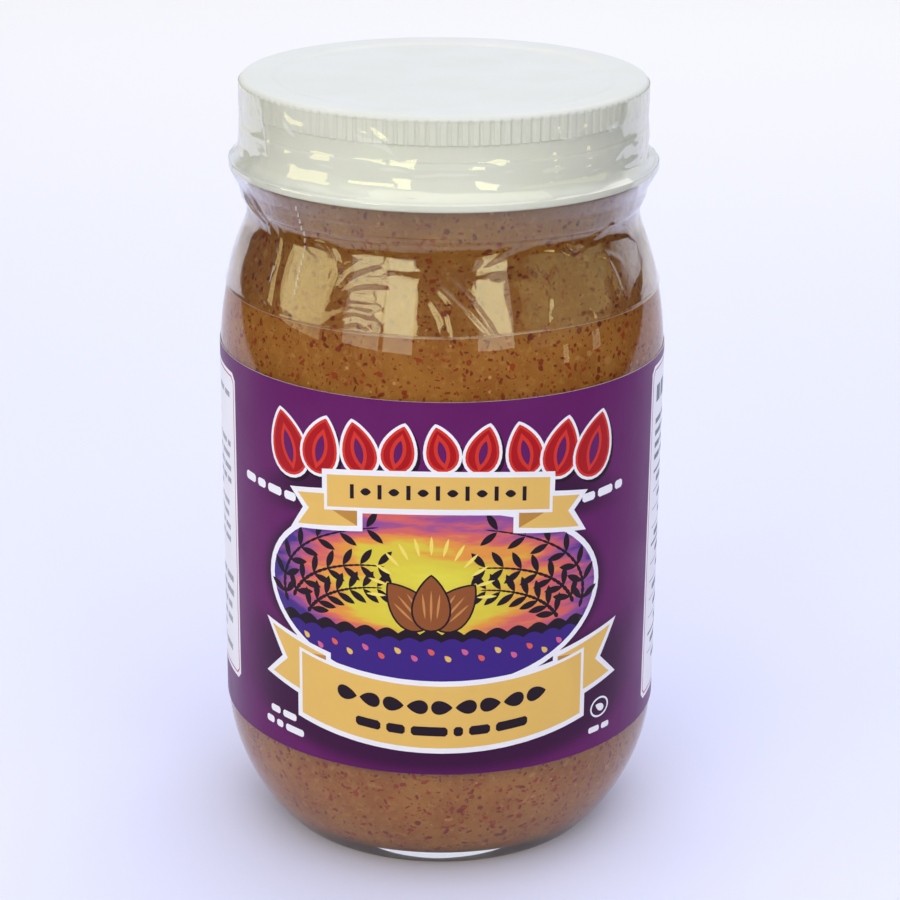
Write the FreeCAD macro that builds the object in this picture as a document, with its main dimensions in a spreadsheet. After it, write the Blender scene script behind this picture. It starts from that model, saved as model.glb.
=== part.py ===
"""Glass jar of almond butter with a knurled metal screw lid, a wrap-round label and a clear tamper band.

Millimetres, +Z up, origin at the centre of the base. The middle of the label faces -Y.
Every piece is a turned form about Z: a closed outline of (radius, height) corners is revolved.
The corners are formulas of the sizes in the spreadsheet, so pieces that meet share them.
"""

import FreeCAD, Part
import math
import os
import re

import Sketcher

PARTS_FOLDER = "parts"

# Driving sizes, in millimetres unless the name says otherwise.
SIZES = {
    # glass
    "body_radius": 38.5,
    "wall": 2.4,
    "heel_height": 24.0,
    "heel_radius": 34.0,
    "foot_round": 2.5,
    "foot_width": 1.6,
    "push_up": 1.4,
    "push_slope": 2.5,
    "base_thickness": 3.8,
    "floor_round": 6.0,
    "straight_height": 62.0,
    "shoulder_radius": 60.0,
    "neck_round": 8.0,
    "neck_step": 5.1,
    "neck_height": 21.15,
    "rim_round": 0.9,
    # contents
    "headspace": 3.0,
    # lid
    "lid_clearance": 0.2,
    "lid_sheet": 0.4,
    "lid_top_thickness": 0.9,
    "panel_radius": 28.4,
    "panel_step": 0.4,
    "lid_round": 1.0,
    "knurl_rise": 0.45,
    "knurl_height": 3.5,
    "knurl_depth": 0.3,
    "knurl_count": 128,
    "groove_height": 2.8,
    "skirt_rise": 0.5,
    "skirt_height": 6.2,
    "flare": 1.35,
    "bead_lip": 0.45,
    "bead_height": 1.4,
    # label
    "label_thickness": 0.12,
    "label_below": 1.6,
    "label_above": 2.6,
    "label_gap": 3.0,
    # tamper band
    "band_thickness": 0.1,
    "band_clearance": 0.03,
    "band_reach": 9.8,
    "band_top_drop": 0.8,
}

# Radii and heights that follow from the sizes. A name here may be used in any formula.
DERIVED = {
    # glass, outside: the arcs of foot, heel, shoulder and neck run into each other smoothly
    "heel_centre": "body_radius - heel_radius",
    "foot_centre": "heel_centre + sqrt((heel_radius - foot_round)^2 - (heel_height - foot_round)^2)",
    "foot_share": "heel_radius / (heel_radius - foot_round)",
    "foot_end_radius": "heel_centre + foot_share * (foot_centre - heel_centre)",
    "foot_end_height": "heel_height - foot_share * (heel_height - foot_round)",
    "foot_inner": "foot_centre - foot_width",
    "straight_top": "heel_height + straight_height",
    "shoulder_centre": "body_radius - shoulder_radius",
    "neck_radius": "body_radius - neck_step",
    "neck_centre": "neck_radius + neck_round",
    "shoulder_run": "neck_centre - shoulder_centre",
    "shoulder_rise": "sqrt((shoulder_radius + neck_round)^2 - shoulder_run^2)",
    "shoulder_share": "shoulder_radius / (shoulder_radius + neck_round)",
    "shoulder_end_radius": "shoulder_centre + shoulder_share * shoulder_run",
    "shoulder_end_height": "straight_top + shoulder_share * shoulder_rise",
    "neck_bottom": "straight_top + shoulder_rise",
    "glass_top": "neck_bottom + neck_height",
    "rim_height": "glass_top - rim_round",
    # glass, inside: one wall in from the same centres
    "body_inner": "body_radius - wall",
    "neck_inner": "neck_radius - wall",
    "heel_inner": "heel_radius - wall",
    "shoulder_inner": "shoulder_radius - wall",
    "inner_share": "shoulder_inner / (shoulder_radius + neck_round)",
    "inner_end_radius": "shoulder_centre + inner_share * shoulder_run",
    "inner_end_height": "straight_top + inner_share * shoulder_rise",
    "floor_height": "base_thickness + floor_round",
    "floor_centre": "heel_centre + sqrt((heel_inner - floor_round)^2 - (heel_height - floor_height)^2)",
    "floor_share": "heel_inner / (heel_inner - floor_round)",
    "floor_end_radius": "heel_centre + floor_share * (floor_centre - heel_centre)",
    "floor_end_height": "heel_height - floor_share * (heel_height - floor_height)",
    "fill_level": "glass_top - headspace",
    # lid: radii count out from the neck it turns on, heights down from the rim it seats on
    "lid_top": "glass_top + lid_top_thickness",
    "lid_inner": "neck_radius + lid_clearance",
    "groove_wall": "lid_inner + lid_sheet",
    "knurl_wall": "groove_wall + knurl_rise",
    "knurl_inner": "knurl_wall - knurl_depth - lid_sheet",
    "skirt_wall": "groove_wall + skirt_rise",
    "skirt_inner": "skirt_wall - lid_sheet",
    "flare_wall": "skirt_wall + flare",
    "bead_inner": "flare_wall - lid_sheet",
    "bead_wall": "flare_wall + bead_lip",
    "knurl_top": "lid_top - lid_round",
    "knurl_bottom": "knurl_top - knurl_height",
    "skirt_top": "knurl_bottom - groove_height",
    "bead_top": "skirt_top - skirt_height",
    "flare_top": "bead_top + flare",
    "flare_under": "flare_top - sqrt((flare + lid_sheet)^2 - lid_sheet^2)",
    "lid_bottom": "bead_top - bead_height",
    "notch_half_width": "0.42 * 2 * pi * knurl_wall / knurl_count",
    # label
    "label_outer": "body_radius + label_thickness",
    "label_bottom": "heel_height - label_below",
    "label_top": "straight_top + label_above",
    # tamper band: drawn tight to the shoulder and neck, then stretched over the lid's skirt
    "band_bottom": "shoulder_end_height - band_reach",
    "band_drop": "band_bottom - straight_top",
    "band_edge": "shoulder_centre + sqrt(shoulder_radius^2 - band_drop^2)",
    "band_arc": "shoulder_radius + band_thickness",
    "band_outer_edge": "shoulder_centre + sqrt(band_arc^2 - band_drop^2)",
    "band_share": "band_arc / (shoulder_radius + neck_round)",
    "band_end_radius": "shoulder_centre + band_share * shoulder_run",
    "band_end_height": "straight_top + band_share * shoulder_rise",
    "band_over": "band_clearance + band_thickness",
    "band_lift": "flare_top + 0.5 * flare",
    "band_top": "lid_top - band_top_drop",
}


def formula(text):
    """The text with derived names written out and sizes pointed at the spreadsheet."""
    def swap(match):
        name = match.group(0)
        if name in DERIVED:
            return "(" + formula(DERIVED[name]) + ")"
        return "Sizes." + name if name in SIZES else name
    return re.sub(r"[A-Za-z_]+", swap, text)


def value_of(sheet, text):
    """A formula's present value."""
    value = sheet.evalExpression(formula(text))
    return float(getattr(value, "Value", value))


def make_sheet(doc):
    """The spreadsheet of driving sizes: a name, a plain number and an alias on each row."""
    sheet = doc.addObject("Spreadsheet::Sheet", "Sizes")
    for row, (name, value) in enumerate(SIZES.items(), start=1):
        sheet.set(f"A{row}", name)
        sheet.set(f"B{row}", str(value))
        sheet.setAlias(f"B{row}", name)
    doc.recompute()
    return sheet


def new_sketch(body, role, name):
    """An empty sketch on one of the body's own origin planes."""
    sketch = body.newObject("Sketcher::SketchObject", name)
    plane = next(item for item in body.Origin.OriginFeatures if item.Role == role)
    sketch.AttachmentSupport = [(plane, "")]
    sketch.MapMode = "FlatFace"
    return sketch


def add_size(sketch, sheet, kind, places, text):
    """A sketch dimension bound to a formula."""
    index = sketch.addConstraint(Sketcher.Constraint(kind, *places, value_of(sheet, text)))
    sketch.setExpression(f"Constraints[{index}]", formula(text))


def short_arc(start, end, centre, radius):
    """The short arc between two points, and whether it runs clockwise from start to end."""
    first = math.atan2(start.y - centre.y, start.x - centre.x)
    last = math.atan2(end.y - centre.y, end.x - centre.x)
    clockwise = (last - first) % (2 * math.pi) > math.pi
    if clockwise:
        first, last = last, first
    circle = Part.Circle(centre, FreeCAD.Vector(0, 0, 1), radius)
    return Part.ArcOfCircle(circle, first, last), clockwise


def draw_outline(sketch, sheet, corners):
    """A closed outline. A corner is (across, up), and (across, up, centre across, centre up,
    radius) where an arc leaves it for the next corner. Each entry is a formula."""
    points = [FreeCAD.Vector(value_of(sheet, c[0]), value_of(sheet, c[1]), 0) for c in corners]
    pieces = []
    for corner, start, end in zip(corners, points, points[1:] + points[:1]):
        if len(corner) == 2:
            pieces.append((sketch.addGeometry(Part.LineSegment(start, end), False), 1, 2))
            continue
        centre = FreeCAD.Vector(value_of(sheet, corner[2]), value_of(sheet, corner[3]), 0)
        arc, clockwise = short_arc(start, end, centre, value_of(sheet, corner[4]))
        ends = (2, 1) if clockwise else (1, 2)
        pieces.append((sketch.addGeometry(arc, False), *ends))
    vertical_axis, horizontal_axis = -2, -1
    for index, corner in enumerate(corners):
        piece, start, _ = pieces[index]
        before, _, end = pieces[index - 1]
        sketch.addConstraint(Sketcher.Constraint("Coincident", before, end, piece, start))
        for kind, axis, text in (("DistanceX", vertical_axis, corner[0]),
                                 ("DistanceY", horizontal_axis, corner[1])):
            if text == "0":
                sketch.addConstraint(Sketcher.Constraint("PointOnObject", piece, start, axis))
            else:
                add_size(sketch, sheet, kind, (-1, 1, piece, start), text)
        if len(corner) > 2:
            add_size(sketch, sheet, "Radius", (piece,), corner[4])


def turned_body(doc, sheet, label, corners, sweep="360"):
    """A body made by revolving an outline about Z; sweep is the angle in degrees."""
    body = doc.addObject("PartDesign::Body", label)
    body.Label = label
    outline = new_sketch(body, "XZ_Plane", label + "_outline")
    draw_outline(outline, sheet, corners)
    turned = body.newObject("PartDesign::Revolution", label + "_turned")
    turned.Profile = outline
    turned.ReferenceAxis = (outline, ["V_Axis"])
    turned.Midplane = True
    turned.setExpression("Angle", formula(sweep))
    doc.recompute()
    return body


def inside_corners():
    """The inside of the glass from the middle of its floor up to the neck."""
    return [
        ("0", "base_thickness"),
        ("floor_centre", "base_thickness", "floor_centre", "floor_height", "floor_round"),
        ("floor_end_radius", "floor_end_height", "heel_centre", "heel_height", "heel_inner"),
        ("body_inner", "heel_height"),
        ("body_inner", "straight_top", "shoulder_centre", "straight_top", "shoulder_inner"),
        ("inner_end_radius", "inner_end_height", "neck_centre", "neck_bottom", "neck_round + wall"),
        ("neck_inner", "neck_bottom"),
    ]


def reversed_run(corners):
    """A run of corners the other way round, with each arc leaving from its other end."""
    turned = []
    for corner, before in zip(corners[::-1], corners[-2::-1] + [corners[0][:2]]):
        turned.append(corner[:2] + before[2:])
    return turned


def make_glass(doc, sheet):
    """The jar: a thick base on a ring foot, a straight body, a long shoulder and a plain neck."""
    outside = [
        ("0", "push_up"),
        ("foot_inner - push_slope", "push_up"),
        ("foot_inner", "0"),
        ("foot_centre", "0", "foot_centre", "foot_round", "foot_round"),
        ("foot_end_radius", "foot_end_height", "heel_centre", "heel_height", "heel_radius"),
        ("body_radius", "heel_height"),
        ("body_radius", "straight_top", "shoulder_centre", "straight_top", "shoulder_radius"),
        ("shoulder_end_radius", "shoulder_end_height", "neck_centre", "neck_bottom", "neck_round"),
        ("neck_radius", "neck_bottom"),
        ("neck_radius", "rim_height", "neck_radius - rim_round", "rim_height", "rim_round"),
        ("neck_radius - rim_round", "glass_top"),
        ("neck_inner + rim_round", "glass_top", "neck_inner + rim_round", "rim_height", "rim_round"),
        ("neck_inner", "rim_height"),
    ]
    return turned_body(doc, sheet, "jar_glass", outside + reversed_run(inside_corners()))


def make_butter(doc, sheet):
    """The contents: they fill the glass face to face, up to a little below its rim."""
    corners = inside_corners() + [("neck_inner", "fill_level"), ("0", "fill_level")]
    return turned_body(doc, sheet, "almond_butter", corners)


def make_lid(doc, sheet):
    """The screw lid: a recessed panel, a knurled edge, a groove, and a skirt that flares to a bead."""
    corners = [
        ("0", "lid_top - panel_step"),
        ("panel_radius", "lid_top - panel_step"),
        ("panel_radius + 2 * panel_step", "lid_top"),
        ("knurl_wall - lid_round", "lid_top", "knurl_wall - lid_round", "knurl_top", "lid_round"),
        ("knurl_wall", "knurl_top"),
        ("knurl_wall", "knurl_bottom", "knurl_wall", "knurl_bottom - knurl_rise", "knurl_rise"),
        ("groove_wall", "knurl_bottom - knurl_rise"),
        ("groove_wall", "skirt_top", "groove_wall", "skirt_top - skirt_rise", "skirt_rise"),
        ("skirt_wall", "skirt_top - skirt_rise"),
        ("skirt_wall", "flare_top", "flare_wall", "flare_top", "flare"),
        ("flare_wall", "bead_top", "flare_wall", "bead_top - bead_lip", "bead_lip"),
        ("bead_wall", "bead_top - bead_lip"),
        ("bead_wall", "lid_bottom + bead_lip", "flare_wall", "lid_bottom + bead_lip", "bead_lip"),
        ("flare_wall", "lid_bottom"),
        ("bead_inner", "lid_bottom"),
        ("bead_inner", "flare_under", "flare_wall", "flare_top", "flare + lid_sheet"),
        ("skirt_inner", "flare_top"),
        ("skirt_inner", "skirt_top - lid_sheet"),
        ("lid_inner", "skirt_top - lid_sheet"),
        ("lid_inner", "knurl_bottom"),
        ("knurl_inner", "knurl_bottom"),
        ("knurl_inner", "glass_top"),
        ("0", "glass_top"),
    ]
    body = turned_body(doc, sheet, "lid", corners)
    cut_knurl(doc, sheet, body)
    return body


def cut_knurl(doc, sheet, body):
    """Upright V notches round the lid's edge: one is cut, then repeated round Z."""
    plain_volume = body.Shape.Volume
    notch = new_sketch(body, "XY_Plane", "knurl_notch")
    draw_outline(notch, sheet, [
        ("knurl_wall - knurl_depth", "0"),
        ("knurl_wall + knurl_depth", "2 * notch_half_width"),
        ("knurl_wall + knurl_depth", "-2 * notch_half_width"),
    ])
    notch.setExpression("AttachmentOffset.Base.z", formula("knurl_bottom"))
    cut = body.newObject("PartDesign::Pocket", "knurl_cut")
    cut.Profile = notch
    cut.Type = "Length"
    cut.Reversed = True
    cut.setExpression("Length", formula("lid_top - knurl_bottom"))
    doc.recompute()
    ring = body.newObject("PartDesign::PolarPattern", "knurl_ring")
    ring.Originals = [cut]
    ring.Axis = (notch, ["N_Axis"])
    ring.Angle = 360
    ring.setExpression("Occurrences", formula("knurl_count"))
    body.Tip = ring
    doc.recompute()
    if not ring.Shape.Volume < cut.Shape.Volume < plain_volume:
        raise RuntimeError("the knurl cuts nothing")


def make_label(doc, sheet):
    """The paper label round the straight wall, with a narrow gap between its ends at the back."""
    corners = [
        ("body_radius", "label_bottom"),
        ("label_outer", "label_bottom"),
        ("label_outer", "label_top"),
        ("body_radius", "label_top"),
    ]
    body = turned_body(doc, sheet, "label", corners, "360 - 360 * label_gap / (2 * pi * body_radius)")
    body.Placement = FreeCAD.Placement(FreeCAD.Vector(), FreeCAD.Rotation(FreeCAD.Vector(0, 0, 1), -90))
    doc.recompute()
    return body


def make_band(doc, sheet):
    """The clear tamper band, shrunk from the shoulder up over the lid's skirt to its knurl."""
    inside = [
        ("band_edge", "band_bottom", "shoulder_centre", "straight_top", "shoulder_radius"),
        ("shoulder_end_radius", "shoulder_end_height", "neck_centre", "neck_bottom", "neck_round"),
        ("neck_radius", "neck_bottom"),
        ("bead_wall + band_clearance", "lid_bottom"),
        ("bead_wall + band_clearance", "bead_top"),
        ("skirt_wall + band_clearance", "band_lift"),
        ("skirt_wall + band_clearance", "skirt_top"),
        ("knurl_wall + band_clearance", "knurl_bottom"),
        ("knurl_wall + band_clearance", "band_top"),
    ]
    outside = [
        ("knurl_wall + band_over", "band_top"),
        ("knurl_wall + band_over", "knurl_bottom"),
        ("skirt_wall + band_over", "skirt_top"),
        ("skirt_wall + band_over", "band_lift"),
        ("bead_wall + band_over", "bead_top"),
        ("bead_wall + band_over", "lid_bottom"),
        ("neck_radius + band_thickness", "neck_bottom", "neck_centre", "neck_bottom",
         "neck_round - band_thickness"),
        ("band_end_radius", "band_end_height", "shoulder_centre", "straight_top", "band_arc"),
        ("band_outer_edge", "band_bottom"),
    ]
    return turned_body(doc, sheet, "shrink_band", inside + outside)


def check_document(doc, bodies):
    """Refuse a failed feature, and a body that isn't one sound solid."""
    for item in doc.Objects:
        if "Invalid" in item.State or "Error" in item.State:
            raise RuntimeError(f"{item.Name} failed: {item.State}")
    for body in bodies:
        shape = body.Shape
        if shape.isNull() or not shape.isValid() or len(shape.Solids) != 1:
            raise RuntimeError(f"{body.Label} is not one valid solid")


def main():
    """Build every piece, check it and write one STEP file for each."""
    doc = FreeCAD.newDocument("almond_butter_jar")
    sheet = make_sheet(doc)
    makers = (make_glass, make_butter, make_lid, make_label, make_band)
    bodies = [make(doc, sheet) for make in makers]
    check_document(doc, bodies)
    os.makedirs(PARTS_FOLDER, exist_ok=True)
    for body in bodies:
        body.Shape.exportStep(os.path.join(PARTS_FOLDER, body.Label + ".step"))
        box = body.Shape.BoundBox
        print(f"{body.Label}: {body.Shape.Volume / 1000:.2f} ml, z {box.ZMin:.2f} to {box.ZMax:.2f} mm")


main()
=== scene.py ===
"""Looks of the almond butter jar: polished glass, nut butter with skins and chopped nuts in it, an
enamelled screw lid, a printed paper label and a clear tamper film shrunk over the neck and lid.

Design sizes are in millimetres and angles in degrees. Meshes are made in metres, in the CAD frame.
A direction round the jar is an angle from the middle of the label, anticlockwise from above.
"""

import math
import random

import bpy
import numpy as np
from mathutils import Matrix, Vector, noise
from mathutils.geometry import delaunay_2d_cdt


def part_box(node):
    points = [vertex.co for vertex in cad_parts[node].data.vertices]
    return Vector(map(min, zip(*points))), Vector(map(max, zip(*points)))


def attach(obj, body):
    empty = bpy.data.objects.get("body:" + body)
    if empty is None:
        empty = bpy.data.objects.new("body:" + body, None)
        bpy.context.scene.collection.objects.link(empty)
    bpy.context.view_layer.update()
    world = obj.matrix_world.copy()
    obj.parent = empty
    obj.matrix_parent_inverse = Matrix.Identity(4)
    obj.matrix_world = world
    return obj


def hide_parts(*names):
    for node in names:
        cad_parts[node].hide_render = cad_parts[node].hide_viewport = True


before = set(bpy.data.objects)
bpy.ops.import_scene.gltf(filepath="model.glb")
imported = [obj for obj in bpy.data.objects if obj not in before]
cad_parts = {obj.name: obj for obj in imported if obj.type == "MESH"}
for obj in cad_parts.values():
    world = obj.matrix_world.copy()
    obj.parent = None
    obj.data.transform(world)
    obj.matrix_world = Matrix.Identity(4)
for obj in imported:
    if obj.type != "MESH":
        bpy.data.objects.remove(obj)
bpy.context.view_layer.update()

MM = 0.001


def node_top(node):
    """A CAD node's highest point, in millimetres."""
    return round(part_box(node)[1].z / MM, 2)


def node_bottom(node):
    """A CAD node's lowest point, in millimetres."""
    return round(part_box(node)[0].z / MM, 2)


def node_radius(node):
    """A turned CAD node's widest radius, in millimetres."""
    return round(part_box(node)[1].x / MM, 2)


def colour(red, green, blue):
    """A colour given as shown on a screen, 0 to 255, as the linear colour that shaders take."""
    shown = [channel / 255 for channel in (red, green, blue)]
    return tuple(c / 12.92 if c <= 0.04045 else ((c + 0.055) / 1.055) ** 2.4 for c in shown) + (1.0,)


# ---------------------------------------------------------------- sizes

# Glass, as the CAD has it.
BODY_RADIUS = node_radius("jar_glass")
GLASS_TOP = node_top("jar_glass")
FILL_LEVEL = node_top("almond_butter")
BASE_THICKNESS = node_bottom("almond_butter")
WALL = 2.4
HEEL_HEIGHT = 24.0
HEEL_RADIUS = 34.0
FOOT_ROUND = 2.5
FOOT_WIDTH = 1.6
PUSH_UP = 1.4
PUSH_SLOPE = 2.5
FLOOR_ROUND = 6.0
STRAIGHT_TOP = 86.0
SHOULDER_RADIUS = 60.0
NECK_ROUND = 8.0
NECK_RADIUS = 33.4
RIM_ROUND = 0.9

# Lid, as the CAD has it.
LID_TOP = node_top("lid")
LID_BOTTOM = node_bottom("lid")
BEAD_RADIUS = node_radius("lid")
BEAD_LIP = 0.45
FLARE = 1.35
FLARE_RADIUS = BEAD_RADIUS - BEAD_LIP
SKIRT_RADIUS = FLARE_RADIUS - FLARE
SKIRT_RISE = 0.5
GROOVE_RADIUS = SKIRT_RADIUS - SKIRT_RISE
KNURL_RISE = 0.45
KNURL_RADIUS = GROOVE_RADIUS + KNURL_RISE
LID_ROUND = 1.0
LID_SHEET = 0.4
KNURL_TOP = LID_TOP - LID_ROUND
KNURL_BOTTOM = KNURL_TOP - 3.5
SKIRT_TOP = KNURL_BOTTOM - 2.8
BEAD_TOP = SKIRT_TOP - 6.2
FLARE_TOP = BEAD_TOP + FLARE
PANEL_RADIUS = 28.4
PANEL_STEP = 0.4
FLUTES = 128
FLUTE_DEPTH = 0.3

# Label and film, as the CAD has them.
LABEL_RADIUS = node_radius("label")
LABEL_BOTTOM = node_bottom("label")
LABEL_TOP = node_top("label")
LABEL_GAP = 3.0
LABEL_SEGMENTS = 161
GLUE = 0.01
FILM_BOTTOM = node_bottom("shrink_band")
FILM_TOP = node_top("shrink_band")
FILM_THICKNESS = 0.06

# How far the contents reach into the wall, and the steps of the turned pieces.
CONTENTS_REACH = 0.05
GLASS_SEGMENTS = 320
BUTTER_SEGMENTS = 256

# The arcs of the glass meet where these lines leave the upright, in degrees.
SHOULDER_SWEEP = math.degrees(math.acos(
    (NECK_RADIUS + NECK_ROUND - BODY_RADIUS + SHOULDER_RADIUS) / (SHOULDER_RADIUS + NECK_ROUND)))
NECK_BOTTOM = STRAIGHT_TOP + (SHOULDER_RADIUS + NECK_ROUND) * math.sin(math.radians(SHOULDER_SWEEP))
FOOT_SWEEP = math.degrees(math.asin((HEEL_HEIGHT - FOOT_ROUND) / (HEEL_RADIUS - FOOT_ROUND)))


# ---------------------------------------------------------------- tones, print, folds and lamps

# The tint is what clear stuff lets through, and the sheen what it mirrors.
GLASS_TINT = colour(250, 252, 250)
GLASS_SHEEN = colour(255, 255, 255)
FILM_TINT = colour(252, 252, 252)
FILM_SHEEN = colour(255, 250, 208)
BUTTER_TAN = colour(160, 105, 42)
BUTTER_PALE = colour(174, 122, 60)
BUTTER_DEEP = colour(148, 90, 34)
FINE_SPECKS = (
    # scale, spot, share, tone
    (1500.0, 0.38, 0.34, colour(126, 62, 24)),
    (900.0, 0.34, 0.30, colour(132, 66, 26)),
    (800.0, 0.28, 0.04, colour(188, 142, 84)),
)
SKIN_DARK = colour(102, 42, 20)
SKIN_RED = colour(158, 66, 24)
NUT_DARK = colour(154, 98, 44)
NUT_PALE = colour(180, 128, 68)
# The bits come in a few shapes, and thin out to a share over some millimetres at the neck.
BIT_SHAPES = 4
THINS_OVER = 2.0
THINS_TO = 0.3
BITS = (
    # piece, finish, dark, light, count per square metre, least and most size, slimness, thickness,
    # how far sunk, seed
    ("almond_skins", "almond_skin", SKIN_DARK, SKIN_RED, 0.62e6, 0.25, 1.35, 0.26, 0.12, 0.01, 5),
    ("nut_pieces", "nut_piece", NUT_DARK, NUT_PALE, 0.035e6, 0.5, 1.8, 0.5, 0.1, 0.05, 11),
)
ENAMEL_WHITE = colour(222, 222, 215)
ENAMEL_CREAM = colour(218, 219, 209)
ENAMEL_SPECK = colour(176, 176, 170)
# Painted highlight: the pale opaque colour of the film's cut rims and slits stands for the glint they
# catch.
CUT_HIGHLIGHT_WHITE = colour(236, 234, 228)
CUT_HIGHLIGHT_GREY = colour(196, 190, 178)
LABEL_PURPLE = colour(96, 21, 92)
LABEL_PURPLE_THIN = colour(102, 30, 96)
LABEL_SHADOW = colour(44, 14, 44)

# The label's inks. The purple and the glow get finishes of their own.
INKS = {
    "white": colour(236, 234, 240),
    "purple": LABEL_PURPLE,
    "shadow": colour(40, 12, 36),
    "red": colour(170, 16, 24),
    "orange_red": colour(208, 52, 36),
    "yellow": colour(226, 183, 99),
    "ochre": colour(186, 134, 62),
    "lemon": colour(236, 214, 104),
    "glow": colour(230, 170, 70),
    "violet": colour(60, 35, 125),
    "pink": colour(206, 96, 140),
    "rose": colour(216, 92, 84),
    "brown": colour(142, 80, 42),
    "tan": colour(194, 132, 76),
    "black": colour(34, 20, 32),
    "grey": colour(150, 150, 158),
    "slate": colour(92, 92, 104),
}
# The medallion's glow from its middle out, its two ends first.
GLOW_TONES = (
    (0.0, colour(222, 210, 72)),
    (1.0, colour(70, 48, 130)),
    (0.42, colour(214, 194, 64)),
    (0.58, colour(224, 146, 66)),
    (0.72, colour(210, 98, 96)),
    (0.87, colour(140, 76, 146)),
)

# The print's places are in millimetres across from the label's middle and up from the jar's foot.
ROW_COUNT = 9
RIBBON_EDGE = 0.95
# middle, foot, half width, height, rise, tail reach, tail height, tail drop, tail inset
UPPER_RIBBON = (-0.5, 68.9, 19.0, 5.6, 1.4, 25.0, 5.6, 3.2, 5.5)
LOWER_RIBBON = (0.4, 30.1, 25.4, 11.4, -2.8, 32.4, 8.8, -4.0, 5.0)
# middle across and up, half width and half height
MEDALLION = (-1.5, 54.3, 29.8, 15.8)
SMALL_MARKS = (
    # centre, widths, height, gap, slant
    ((-32.6, 69.3), (3.0, 2.2, 3.4, 2.6), 1.5, 0.7, -3),
    ((30.0, 69.6), (2.8, 3.6, 2.0), 1.5, 0.7, 3),
    ((-29.6, 28.6), (2.4, 3.2), 1.3, 0.7, -3),
    ((-29.4, 26.2), (2.0, 1.6, 4.2), 1.3, 0.7, -3),
)
RING = (30.6, 29.8)
# turns at foot and tip, reach, drift
SPRIGS = (((196, 112), 0.93, 0.10), ((192, 128), 0.86, 0.42), ((203, 160), 0.80, 0.50))
# left, right, bottom, top
SMALL_PRINT_LEFT = (-103.0, -43.6, 29.4, 85.8)
SMALL_PRINT_RIGHT = (45.3, 103.0, 25.1, 87.0)
# Soft dark patches on the purple round the ribbons and the medallion, by these values of their group.
PATCH_VALUES = ("Centre across", "Centre up", "Half width", "Half height", "Arch", "Squareness", "Softness")
HALOES = (
    (-0.5, 70.4, 24.6, 3.6, 1.5, 3.0, 0.55),
    (-1.5, 54.3, 30.4, 16.4, 0.0, 2.0, 0.11),
    (0.4, 36.0, 31.0, 8.8, -2.6, 4.0, 0.42),
)

# The film's inner face as (height, radius): from the neck out to the bead, and up the lid from the flare.
FILM_CLEARANCE = 0.03
FILM_TO_BEAD = (
    (LID_BOTTOM - 8.2, NECK_RADIUS),
    (LID_BOTTOM - 6.4, NECK_RADIUS + 0.1),
    (LID_BOTTOM - 5.5, NECK_RADIUS + 0.65),
    (LID_BOTTOM - 4.7, NECK_RADIUS + 0.98),
    (LID_BOTTOM - 3.1, NECK_RADIUS + 1.3),
    (LID_BOTTOM - 2.7, NECK_RADIUS + 1.5),
    (LID_BOTTOM - 0.3, BEAD_RADIUS - 0.1),
    (LID_BOTTOM, BEAD_RADIUS + 0.04),
)
FILM_OVER_LID = (
    (FLARE_TOP, SKIRT_RADIUS + 0.1),
    (SKIRT_TOP - 1.4, SKIRT_RADIUS + 0.1),
    (SKIRT_TOP - 0.2, SKIRT_RADIUS + 0.04),
    (SKIRT_TOP + 0.7, GROOVE_RADIUS + 0.42),
    (KNURL_BOTTOM - 0.6, GROOVE_RADIUS + 0.42),
    (KNURL_BOTTOM + 0.3, KNURL_RADIUS + 0.05),
    (FILM_TOP, KNURL_RADIUS + 0.05),
)
# How far it wanders off that face, as (height, distance).
FILM_LOOSE = (
    (FILM_BOTTOM, 0.08), (FILM_BOTTOM + 2, 0.13), (112, 0.13), (118, 0.12), (121, 0.14), (FILM_TOP, 0.10),
)
# Between the bead and the skirt it hangs like a tent: how high that reaches, how much more at one side
# and at the front, how far that wanders, and how hollow the tent hangs.
TENT_HEIGHT = 2.3
TENT_LEAN = 1.3
TENT_FRONT = 1.6
TENT_WANDER = 0.35
TENT_HOLLOW = 2.2
# Where it leaves the glass, and how far its pleats, its hem and its drawn waves stand off.
LEAVES_GLASS = 111.4
PLEAT_LIFT = 0.04
HEM_LIFT = 0.16
HEM_HEIGHT = 0.35
DRAWN_LIFT = 0.17
DRAWN_SINK = 0.06
# How far its lower edge wanders up and down, and the most that it goes down.
DROOP = 0.35
DROOP_LOWEST = 0.2
# Its mesh: columns round the jar, and rows as (from this height up, so far apart).
FILM_COLUMNS = 500
FILM_ROWS = (
    (FILM_BOTTOM, 0.12), (FILM_BOTTOM + 0.5, 0.46), (LID_BOTTOM - 7, 0.26), (LID_BOTTOM - 2, 0.5),
    (LID_BOTTOM, 0.2), (BEAD_TOP + 1, 0.3), (SKIRT_TOP, 0.55), (FILM_TOP, 1.0),
)

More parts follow.
